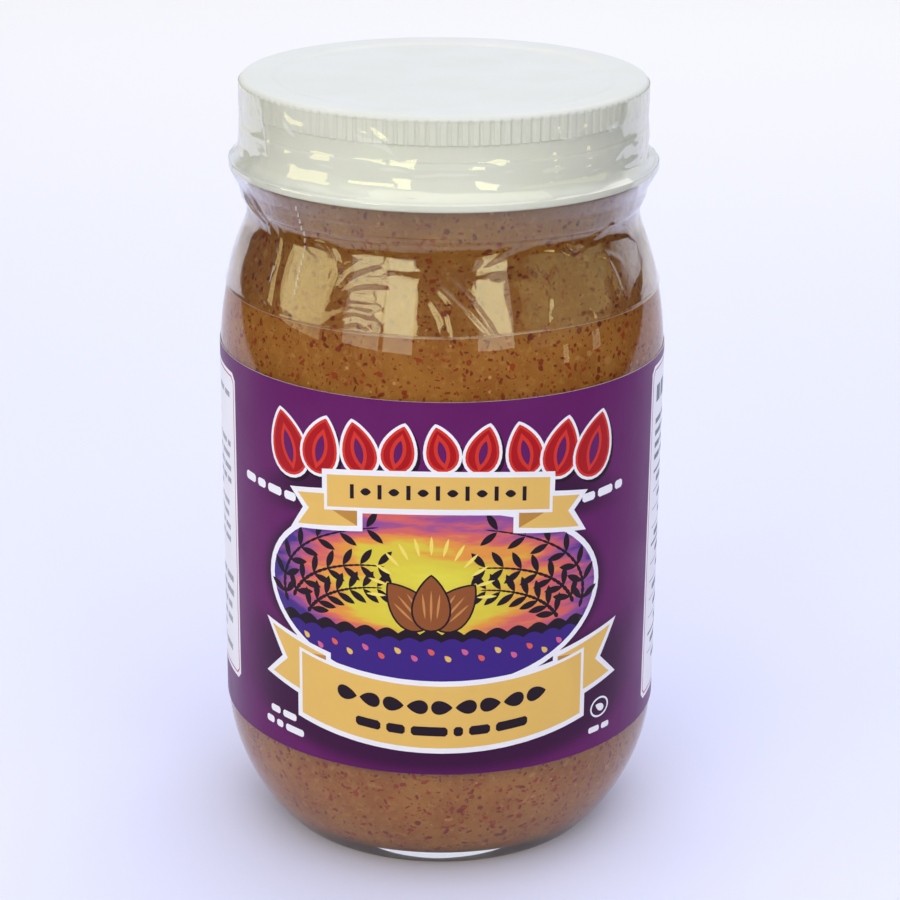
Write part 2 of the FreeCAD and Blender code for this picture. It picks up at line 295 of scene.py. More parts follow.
# The film's creases: a line of (angle, height), the half width of its ridge and how far it lifts.
# Distances along them are taken at one radius.
FOLD_RADIUS = 36.0
FOLDS = (
    (((-30, 104.3), (-24, 107.2), (-17, 109.2)), 0.55, 0.30),
    (((-30, 103.8), (-22, 105.6), (-14, 105.9)), 0.60, 0.26),
    (((-30, 103.2), (-23, 104.2), (-15, 104.4)), 0.50, 0.22),
    (((-31, 100.4), (-24, 102.4), (-16, 102.0)), 0.65, 0.28),
    (((-29, 99.6), (-22, 101.0), (-18, 100.2)), 0.45, 0.20),
    (((-30, 106.5), (-26, 109.0), (-20, 110.4)), 0.50, 0.22),
    (((-42, 111.4), (-36, 111.9), (-31, 110.6), (-28, 107.0), (-31, 103.6)), 0.55, 0.30),
    (((-41, 110.6), (-36, 109.7), (-32, 110.3)), 0.45, 0.20),
    (((-52.5, 112.0), (-51.0, 106.0), (-50.5, 99.4)), 0.60, 0.32),
    (((-47, 109.0), (-46.5, 104.0), (-45, 99.5)), 0.50, 0.22),
    (((-58, 100.5), (-55, 101.8), (-51, 100.8)), 0.55, 0.25),
    (((-72, 116.5), (-66, 114.0), (-60, 111.8)), 0.70, 0.55),
    (((-66, 118.0), (-61, 114.5), (-57, 111.0)), 0.60, 0.40),
    (((-0.5, 106.4), (4.5, 103.6), (8.5, 101.0), (11.5, 98.8)), 0.80, 0.46),
    (((3.0, 107.4), (7.5, 104.4), (11.0, 101.4), (13.5, 98.8)), 0.60, 0.34),
    (((-2.5, 104.6), (0.5, 102.2), (1.5, 99.0)), 0.80, 0.36),
    (((20.0, 112.4), (16.5, 111.4), (9.0, 109.2)), 0.70, 0.25),
    (((29.8, 105.0), (29.4, 102.0), (28.4, 99.3)), 0.50, 0.30),
    (((33.0, 108.5), (30.5, 106.5), (26.5, 105.2)), 0.60, 0.22),
    (((36.5, 100.8), (39.5, 101.6), (43.0, 100.4)), 0.45, 0.18),
    (((46.0, 111.8), (54.0, 113.2), (63.0, 112.0), (69.0, 109.4)), 0.70, 0.42),
    (((45.0, 108.6), (51.0, 108.9), (57.5, 107.0)), 0.55, 0.28),
    (((50.0, 110.0), (53.0, 105.0), (54.5, 100.0)), 0.70, 0.22),
    (((35.0, 111.8), (38.0, 110.6), (42.5, 110.6)), 0.50, 0.30),
    (((-75.0, 115.6), (-30.0, 116.3), (20.0, 116.2), (75.0, 115.4)), 0.45, 0.16),
    (((-60.0, 113.6), (-20.0, 114.1), (30.0, 114.0), (62.0, 113.2)), 0.40, 0.13),
    (((-20.0, 131.8), (-15.5, 129.8), (-11.0, 127.4)), 0.50, 0.28),
    (((-24.5, 131.2), (-20.0, 130.4), (-17.0, 129.6)), 0.45, 0.20),
    (((-58.0, 131.5), (-56.0, 128.5), (-55.0, 124.5)), 0.60, 0.25),
    (((31.0, 130.6), (37.0, 129.6), (41.0, 130.8)), 0.45, 0.22),
    (((-49.0, 132.2), (-45.0, 130.6), (-39.0, 130.2)), 0.90, 0.26),
    (((-46.0, 130.2), (-42.0, 128.8), (-37.0, 129.4)), 0.80, 0.20),
    (((47.0, 132.0), (50.0, 130.6), (54.0, 131.0)), 0.80, 0.24),
    (((112.0, 112.0), (116.0, 106.0), (115.0, 100.0)), 0.70, 0.30),
    (((128.0, 110.5), (136.0, 106.0), (146.0, 103.5)), 0.60, 0.30),
    (((128.0, 108.0), (137.0, 103.6), (147.0, 101.0)), 0.55, 0.26),
    (((165.0, 114.0), (172.0, 108.0), (174.0, 100.0)), 0.80, 0.40),
    (((-160.0, 112.5), (-152.0, 108.0), (-149.0, 102.0)), 0.70, 0.36),
    (((-128.0, 111.0), (-121.0, 107.5), (-112.0, 106.5)), 0.60, 0.30),
    (((-126.0, 106.0), (-118.0, 103.0), (-110.0, 102.2)), 0.55, 0.26),
    (((-114.0, 111.0), (-112.0, 107.0), (-113.0, 104.0)), 0.65, 0.2),
)
# The tear line: its angle, top and bottom, how many points it has, and its slits.
TEAR_ANGLE = -41.6
TEAR_TOP = 117.2
TEAR_BOTTOM = 103.4
TEAR_POINTS = 60
SLIT_SPACING = 1.15
SLIT_LENGTH = 0.7
SLIT_WIDTH = 0.24
SLIT_LIP = 0.045

# The camera: its lens and sensor in millimetres, its place in metres, and its pan, dip and roll.
LENS = 99.9
SENSOR = 36.0
CAMERA_PLACE = (0, -0.4163, 0.2165)
CAMERA_PAN = -0.21
CAMERA_DIP = 19.79
CAMERA_ROLL = 0.5

# The floor, in metres: its half width; where its painted shade goes from the darker, bluer colour near the
# jar to the brighter one far off; how far out the pale patch that mirrors see reaches, beyond which they
# see the floor in a painted dark colour, and how much wider that patch grows behind; and where it melts
# into the horizon.
FLOOR_HALF = 4.0
FLOOR_SHADE_FADE = (-0.05, 0.9)
MIRROR_PATCH_EDGE = (0.25, 0.32)
MIRROR_PATCH_SPREAD = 0.8
HORIZON = (0.75, 1.3)
# Painted shade: the floor's colour runs from darker and bluer near the jar to brighter far off, for how its
# light falls.
FLOOR_NEAR_SHADED = colour(227, 228, 254)
FLOOR_FAR_LIT = colour(255, 252, 248)
FLOOR_HORIZON = colour(246, 246, 252)
# Painted dark reflection: the floor's colour as glossy rays see it beyond the pale patch round the jar.
FLOOR_MIRRORED_DARK = colour(46, 38, 30)

# The sky, bright from where the first share of each pair is passed and full at the second: one for its
# height, one for how far behind the jar it lies, leaning to one side.
SKY_TINT = colour(233, 238, 255)
SKY_DIM = 0.06
SKY_BRIGHT = 1.05
SKY_OVERHEAD = (0.38, 0.82)
SKY_BEHIND = (0.5, 0.85)
SKY_LEAN = 0.25

LAMP_AIM = (0, 0, 0.09)
LAMPS = (
    # name, direction, lift, distance and size in metres, brightness, tint
    ("overhead", 168, 52, 1.4, 1.5, 1.0, 0.97, colour(255, 252, 244)),
    ("overhead_front", 8, 66, 1.2, 1.7, 1.15, 0.8, colour(252, 252, 255)),
    ("window_left", -22.0, 14, 0.62, 0.16, 0.26, 3.3, colour(255, 254, 224)),
    ("window_left_narrow", -41, 14, 0.62, 0.21, 0.26, 2.8, colour(255, 254, 224)),
    ("window_right", 26.5, 14.5, 0.62, 0.20, 0.25, 3.2, colour(255, 254, 224)),
    ("window_side", -77, 12.5, 0.7, 0.34, 0.30, 2.2, colour(255, 246, 196)),
    ("foliage_right", 72, 13, 0.8, 0.80, 0.34, 0.5, colour(246, 244, 190)),
    ("gap_right", 63, -2.6, 0.55, 0.028, 0.05, 3.0, colour(255, 236, 190)),
    ("gap_far_right", 82, -2.2, 0.55, 0.05, 0.045, 2.4, colour(255, 236, 190)),
)


# ---------------------------------------------------------------- meshes


def round_place(angle, radius, height):
    """A place on the jar in metres, from an angle in degrees and millimetres out and up."""
    turn = math.radians(angle)
    return (radius * math.sin(turn) * MM, -radius * math.cos(turn) * MM, height * MM)


def arc(centre, radius, start, end, steps=12):
    """Points on an arc. Its angles count anticlockwise from straight outwards."""
    turns = np.radians(np.linspace(start, end, steps + 1))
    return [(centre[0] + radius * math.cos(t), centre[1] + radius * math.sin(t)) for t in turns]


def upright(radius, low, high, steps):
    """Points up a straight wall, or down it."""
    return [(radius, height) for height in np.linspace(low, high, steps + 1)]


def softened(corners, steps=4):
    """The outline with each corner that carries a third number cut back that far into a curve."""
    points = []
    for index, corner in enumerate(corners):
        if len(corner) == 2:
            points.append(corner)
            continue
        here, before, after = (np.array(c[:2]) for c in (corner, corners[index - 1], corners[index + 1]))
        start = here + (before - here) * corner[2] / math.dist(before, here)
        end = here + (after - here) * corner[2] / math.dist(after, here)
        for t in np.linspace(0, 1, steps + 1):
            points.append(tuple((1 - t) ** 2 * start + 2 * t * (1 - t) * here + t * t * end))
    return points


def new_object(name, mesh):
    """An object at the origin that shows a mesh."""
    piece = bpy.data.objects.new(name, mesh)
    bpy.context.scene.collection.objects.link(piece)
    return piece


def shade_smooth(mesh, crease=40):
    """Smooth shading, with edges sharper than the crease angle left crisp."""
    mesh.shade_smooth()
    mesh.set_sharp_from_angle(angle=math.radians(crease))


def turned(name, outline, segments):
    """A piece turned about Z from an outline of (radius, height) that starts and ends on the axis.

    The outline runs anticlockwise round the solid, so that faces point outwards.
    """
    corners = [outline[0]] + [b for a, b in zip(outline, outline[1:]) if math.dist(a, b) > 1e-5]
    angles = np.arange(segments) * 360 / segments
    places = []
    rings = []
    for radius, height in corners:
        first = len(places)
        if radius < 1e-6:
            places.append((0.0, 0.0, height * MM))
            rings.append([first] * segments)
        else:
            places.extend(round_place(angle, radius, height) for angle in angles)
            rings.append(list(range(first, first + segments)))
    faces = []
    for low, high in zip(rings, rings[1:]):
        for a in range(segments):
            b = (a + 1) % segments
            faces.append(tuple(dict.fromkeys((low[a], low[b], high[b], high[a]))))
    mesh = bpy.data.meshes.new(name)
    mesh.from_pydata(places, [], faces)
    shade_smooth(mesh)
    return new_object(name, mesh)


def closed_shell(name, outer, inner, faces, slots, lining_slot, rim_slot):
    """A thin closed sheet: faces on its outer points, the same faces inside, and strips round its rims."""
    count = len(outer)
    sides = dict.fromkeys(side for face in faces for side in zip(face, face[1:] + face[:1]))
    rims = [(b, a, a + count, b + count) for a, b in sides if (b, a) not in sides]
    linings = [tuple(corner + count for corner in reversed(face)) for face in faces]
    mesh = bpy.data.meshes.new(name)
    mesh.from_pydata(outer + inner, [], faces + linings + rims)
    all_slots = slots + [lining_slot] * len(linings) + [rim_slot] * len(rims)
    mesh.polygons.foreach_set("material_index", all_slots)
    shade_smooth(mesh)
    return new_object(name, mesh)


# ---------------------------------------------------------------- node trees

# What a group's sockets carry where it isn't a number.
SOCKET_TYPES = {"Geometry": "Geometry", "Material": "Material", "Place": "Vector"}


def put_in(tree, node, values):
    """Link or set a node's inputs by name or number."""
    for name, value in values.items():
        if isinstance(value, bpy.types.NodeSocket):
            tree.links.new(value, node.inputs[name])
        else:
            node.inputs[name].default_value = value


def add_node(tree, kind, inputs=None, **settings):
    """A node with its settings made, and its inputs linked or set."""
    node = tree.nodes.new(kind)
    node.location = (200 * len(tree.nodes), 0)
    for name, value in settings.items():
        setattr(node, name, value)
    put_in(tree, node, inputs or {})
    return node


def maths(tree, operation, first, second=0.0):
    """The result of one sum."""
    return add_node(tree, "ShaderNodeMath", {0: first, 1: second}, operation=operation).outputs[0]


def product(tree, first, *others):
    """Several values multiplied together."""
    for other in others:
        first = maths(tree, "MULTIPLY", first, other)
    return first


def scaled_range(tree, value, low, high, to_low=0.0, to_high=1.0, smooth=True):
    """A value carried from one range to another."""
    node = add_node(tree, "ShaderNodeMapRange",
                    {"Value": value, 1: low, 2: high, 3: to_low, 4: to_high},
                    interpolation_type="SMOOTHSTEP" if smooth else "LINEAR")
    return node.outputs[0]


def new_tree(kind, name, inputs, outputs):
    """An empty node group. Inputs are given as {name: value}, and outputs by their names."""
    tree = bpy.data.node_groups.new(name, kind)
    for title, value in inputs.items():
        number = "Int" if isinstance(value, int) else "Float"
        socket_type = "NodeSocket" + SOCKET_TYPES.get(title, number)
        socket = tree.interface.new_socket(title, in_out="INPUT", socket_type=socket_type)
        if value is not None:
            socket.default_value = value
    for title in outputs:
        socket_type = "NodeSocket" + SOCKET_TYPES.get(title, "Float")
        tree.interface.new_socket(title, in_out="OUTPUT", socket_type=socket_type)
    return tree, tree.nodes.new("NodeGroupInput").outputs


def new_growth(name, values):
    """An empty Geometry Nodes group that takes a base, some values and a material, and puts out a piece."""
    inputs = {"Geometry": None} | values | {"Material": None}
    return new_tree("GeometryNodeTree", name, inputs, ["Geometry"])


def put_out(tree, results):
    """Link a group's results to its outputs by name."""
    output = tree.nodes.new("NodeGroupOutput")
    for name, socket in results.items():
        tree.links.new(socket, output.inputs[name])


def put_out_piece(tree, geometry, material):
    """Put out what a Geometry Nodes tree made, as real faces of one material."""
    real = add_node(tree, "GeometryNodeRealizeInstances", {0: geometry})
    finish = add_node(tree, "GeometryNodeSetMaterial", {"Geometry": real.outputs[0], "Material": material})
    put_out(tree, {"Geometry": finish.outputs[0]})


def grown_piece(name, base, tree, values):
    """Run a Geometry Nodes tree on a base object and keep the result as a plain mesh."""
    modifier = base.modifiers.new(tree.name, "NODES")
    modifier.node_group = tree
    for socket in tree.interface.items_tree:
        if socket.in_out == "INPUT" and socket.name in values:
            modifier[socket.identifier] = values[socket.name]
    evaluated = base.evaluated_get(bpy.context.evaluated_depsgraph_get())
    mesh = bpy.data.meshes.new_from_object(evaluated)
    base.modifiers.remove(modifier)
    mesh.name = name
    return new_object(name, mesh)


def radial_parts(tree):
    """Inside a Geometry Nodes tree: each point's height, distance from the axis, turn and way outwards."""
    position = add_node(tree, "GeometryNodeInputPosition").outputs[0]
    parts = add_node(tree, "ShaderNodeSeparateXYZ", {0: position}).outputs
    flat = add_node(tree, "ShaderNodeCombineXYZ", {"X": parts["X"], "Y": parts["Y"]}).outputs[0]
    reach = add_node(tree, "ShaderNodeVectorMath", {0: flat}, operation="LENGTH").outputs["Value"]
    outwards = add_node(tree, "ShaderNodeVectorMath", {0: flat}, operation="NORMALIZE").outputs[0]
    turn = maths(tree, "ARCTAN2", parts["Y"], parts["X"])
    return parts["Z"], reach, turn, outwards


def make_fluting_tree():
    """Upright flutes pressed into a turned skirt, fading out above and below."""
    tree, given = new_growth("fluting", {
        "Count": 128, "Depth": 0.0003, "Inner radius": 0.03, "Low": 0.0, "High": 0.01, "Fade": 0.001})
    height, reach, turn, outwards = radial_parts(tree)
    wave = maths(tree, "COSINE", product(tree, turn, given["Count"]))
    hollow = scaled_range(tree, wave, -0.95, -0.1, 1.0, 0.0)
    above = maths(tree, "SUBTRACT", given["Low"], given["Fade"])
    below = maths(tree, "ADD", given["High"], given["Fade"])
    rising = scaled_range(tree, height, above, given["Low"])
    falling = scaled_range(tree, height, given["High"], below, 1.0, 0.0)
    inwards = product(tree, rising, falling, hollow, given["Depth"], -1.0)
    shift = add_node(tree, "ShaderNodeVectorMath", {0: outwards, "Scale": inwards}, operation="SCALE")
    outside = add_node(tree, "FunctionNodeCompare", {0: reach, 1: given["Inner radius"]},
                       operation="GREATER_THAN", data_type="FLOAT").outputs[0]
    pressed = add_node(tree, "GeometryNodeSetPosition",
                       {"Geometry": given["Geometry"], "Selection": outside, "Offset": shift.outputs[0]})
    put_out_piece(tree, pressed.outputs[0], given["Material"])
    return tree


def make_bits_tree():
    """Flat angular bits sunk in a surface at random, where the label doesn't cover it."""
    tree, given = new_growth("bits_in_paste", {
        "Density": 400000.0, "Smallest": 0.0003, "Largest": 0.001, "Slimness": 0.4, "Thickness": 0.1,
        "Sink": 0.0, "Core radius": 0.029, "Hidden above": 0.02, "Hidden below": 0.09,
        "Sparse above": 0.112, "Seed": 1})
    height, reach = radial_parts(tree)[:2]
    above = maths(tree, "GREATER_THAN", height, given["Hidden below"])
    below = maths(tree, "LESS_THAN", height, given["Hidden above"])
    outside = maths(tree, "GREATER_THAN", reach, given["Core radius"])
    seen = product(tree, maths(tree, "ADD", above, below), outside)
    past = maths(tree, "SUBTRACT", height, given["Sparse above"])
    thinned = scaled_range(tree, past, 0.0, THINS_OVER * MM, 1.0, THINS_TO)
    scatter = add_node(tree, "GeometryNodeDistributePointsOnFaces",
                       {"Mesh": given["Geometry"], "Selection": seen, "Seed": given["Seed"],
                        "Density": product(tree, given["Density"], thinned)}).outputs
    shapes = add_node(tree, "GeometryNodeJoinGeometry")
    for variant in range(BIT_SHAPES):
        ball = add_node(tree, "GeometryNodeMeshIcoSphere", {"Radius": 0.5, "Subdivisions": 1})
        ragged = add_node(tree, "ShaderNodeTexNoise", {"Scale": 1.7, "W": 3.1 * variant},
                          noise_dimensions="4D")
        centred = add_node(tree, "ShaderNodeVectorMath", {0: ragged.outputs["Color"], 1: (0.5, 0.5, 0.5)},
                           operation="SUBTRACT")
        moved = add_node(tree, "GeometryNodeSetPosition",
                         {"Geometry": ball.outputs["Mesh"], "Offset": centred.outputs[0]})
        single = add_node(tree, "GeometryNodeGeometryToInstance", {0: moved.outputs[0]})
        tree.links.new(single.outputs[0], shapes.inputs[0])
    big, wide, spun, tone = (
        add_node(tree, "FunctionNodeRandomValue", {"Seed": seed}, data_type="FLOAT").outputs[1]
        for seed in range(4))
    size = scaled_range(tree, maths(tree, "POWER", big, 2.0), 0.0, 1.0,
                        given["Smallest"], given["Largest"], smooth=False)
    slim = scaled_range(tree, wide, 0.0, 1.0, given["Slimness"], smooth=False)
    scale = add_node(tree, "ShaderNodeCombineXYZ", {
        "X": size, "Y": product(tree, size, slim), "Z": product(tree, size, given["Thickness"])})
    laid = add_node(tree, "FunctionNodeAlignRotationToVector", {"Vector": scatter["Normal"]}, axis="Z")
    spin = add_node(tree, "ShaderNodeCombineXYZ", {"Z": product(tree, spun, math.tau)})
    turned_flat = add_node(tree, "FunctionNodeRotateRotation",
                           {"Rotation": laid.outputs[0], "Rotate By": spin.outputs[0]},
                           rotation_space="LOCAL")
    placed = add_node(tree, "GeometryNodeInstanceOnPoints",
                      {"Points": scatter["Points"], "Instance": shapes.outputs[0], "Pick Instance": True,
                       "Rotation": turned_flat.outputs[0], "Scale": scale.outputs[0]})
    drop = add_node(tree, "ShaderNodeCombineXYZ", {"Z": product(tree, given["Sink"], -1.0)})
    lowered = add_node(tree, "GeometryNodeTranslateInstances",
                       {"Instances": placed.outputs[0], "Translation": drop.outputs[0],
                        "Local Space": True})
    toned = add_node(tree, "GeometryNodeStoreNamedAttribute",
                     {"Geometry": lowered.outputs[0], "Name": "tone", "Value": tone},
                     data_type="FLOAT", domain="INSTANCE")
    put_out_piece(tree, toned.outputs[0], given["Material"])
    return tree


def make_perforation_tree():
    """Short raised slits in a row along a line that lies on a turned surface."""
    tree, given = new_growth("perforation", {
        "Spacing": 0.001, "Slit length": 0.0006, "Slit width": 0.0002, "Lip": 0.00005})
    line = add_node(tree, "GeometryNodeMeshToCurve", {0: given["Geometry"]})
    steps = add_node(tree, "GeometryNodeResampleCurve",
                     {"Curve": line.outputs[0], "Length": given["Spacing"]}, mode="LENGTH")
    points = add_node(tree, "GeometryNodeCurveToPoints", {"Curve": steps.outputs[0]}, mode="EVALUATED")
    outwards = radial_parts(tree)[3]
    facing = add_node(tree, "FunctionNodeAlignRotationToVector", {"Vector": outwards}, axis="Z")
    along = add_node(tree, "FunctionNodeAlignRotationToVector",
                     {"Rotation": facing.outputs[0], "Vector": points.outputs["Tangent"]},
                     axis="X", pivot_axis="Z")
    ring = add_node(tree, "GeometryNodeCurvePrimitiveCircle", {"Resolution": 12, "Radius": 0.5})
    size = add_node(tree, "ShaderNodeCombineXYZ",
                    {"X": given["Slit length"], "Y": given["Slit width"], "Z": 1.0})
    oval = add_node(tree, "GeometryNodeTransform", {"Geometry": ring.outputs[0], "Scale": size.outputs[0]})
    wire = add_node(tree, "GeometryNodeCurvePrimitiveCircle", {"Resolution": 6, "Radius": given["Lip"]})
    slit = add_node(tree, "GeometryNodeCurveToMesh",
                    {"Curve": oval.outputs[0], "Profile Curve": wire.outputs[0]})
    placed = add_node(tree, "GeometryNodeInstanceOnPoints",
                      {"Points": points.outputs["Points"], "Instance": slit.outputs[0],
                       "Rotation": along.outputs[0]})
    put_out_piece(tree, placed.outputs[0], given["Material"])
    return tree


# ---------------------------------------------------------------- finishes


def new_material(name):
    """A new material, its tree, its Principled shader, and each point's place in the object."""
    material = bpy.data.materials.new(name)
    material.use_nodes = True
    tree = material.node_tree
    tree.nodes.clear()
    shader = add_node(tree, "ShaderNodeBsdfPrincipled")
    add_node(tree, "ShaderNodeOutputMaterial", {"Surface": shader.outputs[0]})
    return material, tree, shader, add_node(tree, "ShaderNodeTexCoord").outputs["Object"]


def swap_shader(tree, share, shader, other):
    """Let another shader take the first one's place in a material as far as the share says."""
    both = add_node(tree, "ShaderNodeMixShader", {0: share, 1: shader.outputs[0], 2: other.outputs[0]})
    output = next(node for node in tree.nodes if node.type == "OUTPUT_MATERIAL")
    put_in(tree, output, {"Surface": both.outputs[0]})


def clouds(tree, place, scale, detail=4.0, roughness=0.5):
    """Soft noise."""
    return add_node(tree, "ShaderNodeTexNoise", {
        "Vector": place, "Scale": scale, "Detail": detail, "Roughness": roughness}).outputs[0]


def use_group(tree, group, values):
    """Place a shader node group with its own values and return its outputs."""
    node = add_node(tree, "ShaderNodeGroup", node_tree=group)
    put_in(tree, node, values)
    return node.outputs


def blend_colours(tree, share, first, second):
    """One colour laid over another by a share."""
    return add_node(tree, "ShaderNodeMix", {"Factor": share, 6: first, 7: second},
                    data_type="RGBA").outputs[2]


def bump(tree, height, depth):
    """A normal from a height between nought and one that stands for a depth in millimetres."""
    return add_node(tree, "ShaderNodeBump",
                    {"Height": height, "Distance": depth * MM, "Strength": 1.0}).outputs[0]


def make_handling_group():
    """Handling: a roughness that wanders between two values, and faint waves for a bump."""
    tree, given = new_tree("ShaderNodeTree", "handling", {
        "Place": None, "Smudge size": 60.0, "Wave size": 300.0, "Smooth": 0.2, "Dull": 0.3,
    }, ["Roughness", "Waves"])
    smudge = clouds(tree, given["Place"], given["Smudge size"])
    roughness = scaled_range(tree, smudge, 0.35, 0.7, given["Smooth"], given["Dull"])
    put_out(tree, {"Roughness": roughness, "Waves": clouds(tree, given["Place"], given["Wave size"], 2.0)})
    return tree


def make_speck_group():
    """Specks: round spots at random places, of a size and a share, as a mask."""
    tree, given = new_tree("ShaderNodeTree", "specks", {
        "Place": None, "Scale": 900.0, "Spot": 0.3, "Share": 0.4}, ["Mask"])
    cells = add_node(tree, "ShaderNodeTexVoronoi", {"Vector": given["Place"], "Scale": given["Scale"]})
    lot = add_node(tree, "ShaderNodeSeparateColor", {0: cells.outputs["Color"]}).outputs
    chosen = maths(tree, "LESS_THAN", lot[0], given["Share"])
    spot = product(tree, given["Spot"], scaled_range(tree, lot[1], 0.0, 1.0, 0.45))
    edge = product(tree, spot, 0.6)
    inside = scaled_range(tree, cells.outputs["Distance"], edge, spot, 1.0, 0.0)
    put_out(tree, {"Mask": product(tree, chosen, inside)})
    return tree


def clear_finish(name, tint, mirrored, ior, roughness, wave_size, wave_depth):
    """Glass or film: it bends and mirrors what is seen, and passes the light of lamps straight on."""
    material, tree, shader, place = new_material(name)
    ripple = use_group(tree, HANDLING, {"Place": place, "Wave size": wave_size})["Waves"]
    put_in(tree, shader, {"Base Color": tint, "IOR": ior, "Roughness": roughness, "Specular Tint": mirrored,
                          "Transmission Weight": 1.0, "Normal": bump(tree, ripple, wave_depth)})
    lit = add_node(tree, "ShaderNodeLightPath").outputs["Is Shadow Ray"]
    swap_shader(tree, lit, shader, add_node(tree, "ShaderNodeBsdfTransparent"))
    return material


def handled_finish(tree, shader, handling, base, specular, wave_depth):
    """Finish an opaque shader with the gloss and the waves that handling gave it."""
    put_in(tree, shader, {"Base Color": base, "Roughness": handling["Roughness"],
                          "Specular IOR Level": specular,
                          "Normal": bump(tree, handling["Waves"], wave_depth)})


def cut_film_highlight_finish():
    """Film where it is cut or punched, opaque and pale: a painted highlight for the glint its cut edges
    catch.
    """
    material, tree, shader, place = new_material("cut_film_highlight")
    handling = use_group(tree, HANDLING, {"Place": place, "Smooth": 0.25, "Dull": 0.45})
    white = blend_colours(tree, handling["Waves"], CUT_HIGHLIGHT_GREY, CUT_HIGHLIGHT_WHITE)
    handled_finish(tree, shader, handling, white, 0.5, 0.02)
    return material


def butter_finish():
    """Ground almonds against glass: mottled tan, flecked with skin too fine to model."""
    material, tree, shader, place = new_material("almond_butter")
    cloud = clouds(tree, place, 140.0, 5.0, 0.6)
    grain = clouds(tree, place, 900.0, 3.0, 0.7)
    ground = blend_colours(tree, scaled_range(tree, cloud, 0.35, 0.65), BUTTER_TAN, BUTTER_DEEP)
    ground = blend_colours(tree, scaled_range(tree, grain, 0.5, 0.72, 0.0, 0.8), ground, BUTTER_PALE)
    for scale, spot, share, tone in FINE_SPECKS:
        mask = use_group(tree, SPECKS, {"Place": place, "Scale": scale, "Spot": spot, "Share": share})
        ground = blend_colours(tree, mask["Mask"], ground, tone)
    put_in(tree, shader, {"Base Color": ground, "Roughness": 0.55, "Specular IOR Level": 0.15,
                          "Normal": bump(tree, grain, 0.02)})
    return material


def bit_finish(name, dark, light):
    """Bits in the paste, each of its own tone between two colours, cloudy within."""
    material, tree, shader, place = new_material(name)
    tone = add_node(tree, "ShaderNodeAttribute", attribute_name="tone").outputs["Fac"]
    cloud = clouds(tree, place, 2500.0, 2.0)
    share = maths(tree, "ADD", product(tree, tone, 0.75), product(tree, cloud, 0.25))
    put_in(tree, shader, {"Base Color": blend_colours(tree, share, dark, light),
                          "Roughness": 0.5, "Specular IOR Level": 0.15})
    return material


def enamel_finish():
    """White stove enamel on tinplate: creamy, with a soft gloss that handling has dulled."""
    material, tree, shader, place = new_material("white_enamel")
    handling = use_group(tree, HANDLING, {"Place": place, "Smudge size": 90.0, "Wave size": 1400.0,
                                          "Smooth": 0.32, "Dull": 0.42})
    share = scaled_range(tree, clouds(tree, place, 45.0, 3.0), 0.3, 0.7)
    white = blend_colours(tree, share, ENAMEL_WHITE, ENAMEL_CREAM)
    specks = use_group(tree, SPECKS, {"Place": place, "Scale": 160.0, "Spot": 0.035, "Share": 0.25})
    white = blend_colours(tree, specks["Mask"], white, ENAMEL_SPECK)
    handled_finish(tree, shader, handling, white, 0.3, 0.006)
    return material


def paper_gloss(tree, shader, place, base):
    """Finish a printed shader as coated paper in a given colour."""
    handling = use_group(tree, HANDLING, {"Place": place, "Smudge size": 70.0, "Wave size": 260.0,
                                          "Smooth": 0.3, "Dull": 0.42})
    handled_finish(tree, shader, handling, base, 0.14, 0.03)


def ink_finish(name, tone):
    """A flat printed ink on coated paper, a little uneven."""
    material, tree, shader, place = new_material(name)
    share = scaled_range(tree, clouds(tree, place, 120.0), 0.3, 0.7, 0.0, 0.12)
    thin = tuple(channel * 0.72 for channel in tone[:3]) + (1.0,)
    paper_gloss(tree, shader, place, blend_colours(tree, share, tone, thin))
    return material


def make_patch_group():
    """A soft patch on the print: one within an oval or a rounded bar, falling to nought outside it."""
    tree, given = new_tree("ShaderNodeTree", "soft_patch", {
        "Place": None, "Centre across": 0.0, "Centre up": 50.0, "Half width": 20.0, "Half height": 5.0,
        "Arch": 0.0, "Squareness": 2.0, "Softness": 0.3,
    }, ["Mask", "Distance"])
    parts = add_node(tree, "ShaderNodeSeparateXYZ", {0: given["Place"]}).outputs
    aside = maths(tree, "SUBTRACT", parts[0], given["Centre across"])
    across = maths(tree, "DIVIDE", aside, given["Half width"])
    bow = maths(tree, "SUBTRACT", 1.0, maths(tree, "POWER", across, 2.0))
    level = maths(tree, "ADD", given["Centre up"], product(tree, given["Arch"], bow))
    up = maths(tree, "DIVIDE", maths(tree, "SUBTRACT", parts[1], level), given["Half height"])
    powers = [maths(tree, "POWER", maths(tree, "ABSOLUTE", way), given["Squareness"])
              for way in (across, up)]
    inverse = maths(tree, "DIVIDE", 1.0, given["Squareness"])
    distance = maths(tree, "POWER", maths(tree, "ADD", *powers), inverse)
    mask = scaled_range(tree, distance, 1.0, maths(tree, "ADD", 1.0, given["Softness"]), 1.0, 0.0)
    put_out(tree, {"Mask": mask, "Distance": distance})
    return tree


def ground_finish():
    """The label's purple ground, darkened softly round the things printed on it."""
    material, tree, shader, place = new_material("ink_purple")
    printed = add_node(tree, "ShaderNodeUVMap", uv_map="print").outputs[0]
    shade = 0.0
    for halo in HALOES:
        mask = use_group(tree, SOFT_PATCH, {"Place": printed} | dict(zip(PATCH_VALUES, halo)))["Mask"]
        shade = maths(tree, "MAXIMUM", shade, mask)
    share = scaled_range(tree, clouds(tree, place, 100.0), 0.3, 0.7, 0.0, 0.5)
    purple = blend_colours(tree, share, LABEL_PURPLE, LABEL_PURPLE_THIN)
    paper_gloss(tree, shader, place, blend_colours(tree, product(tree, shade, 0.8), purple, LABEL_SHADOW))
    return material


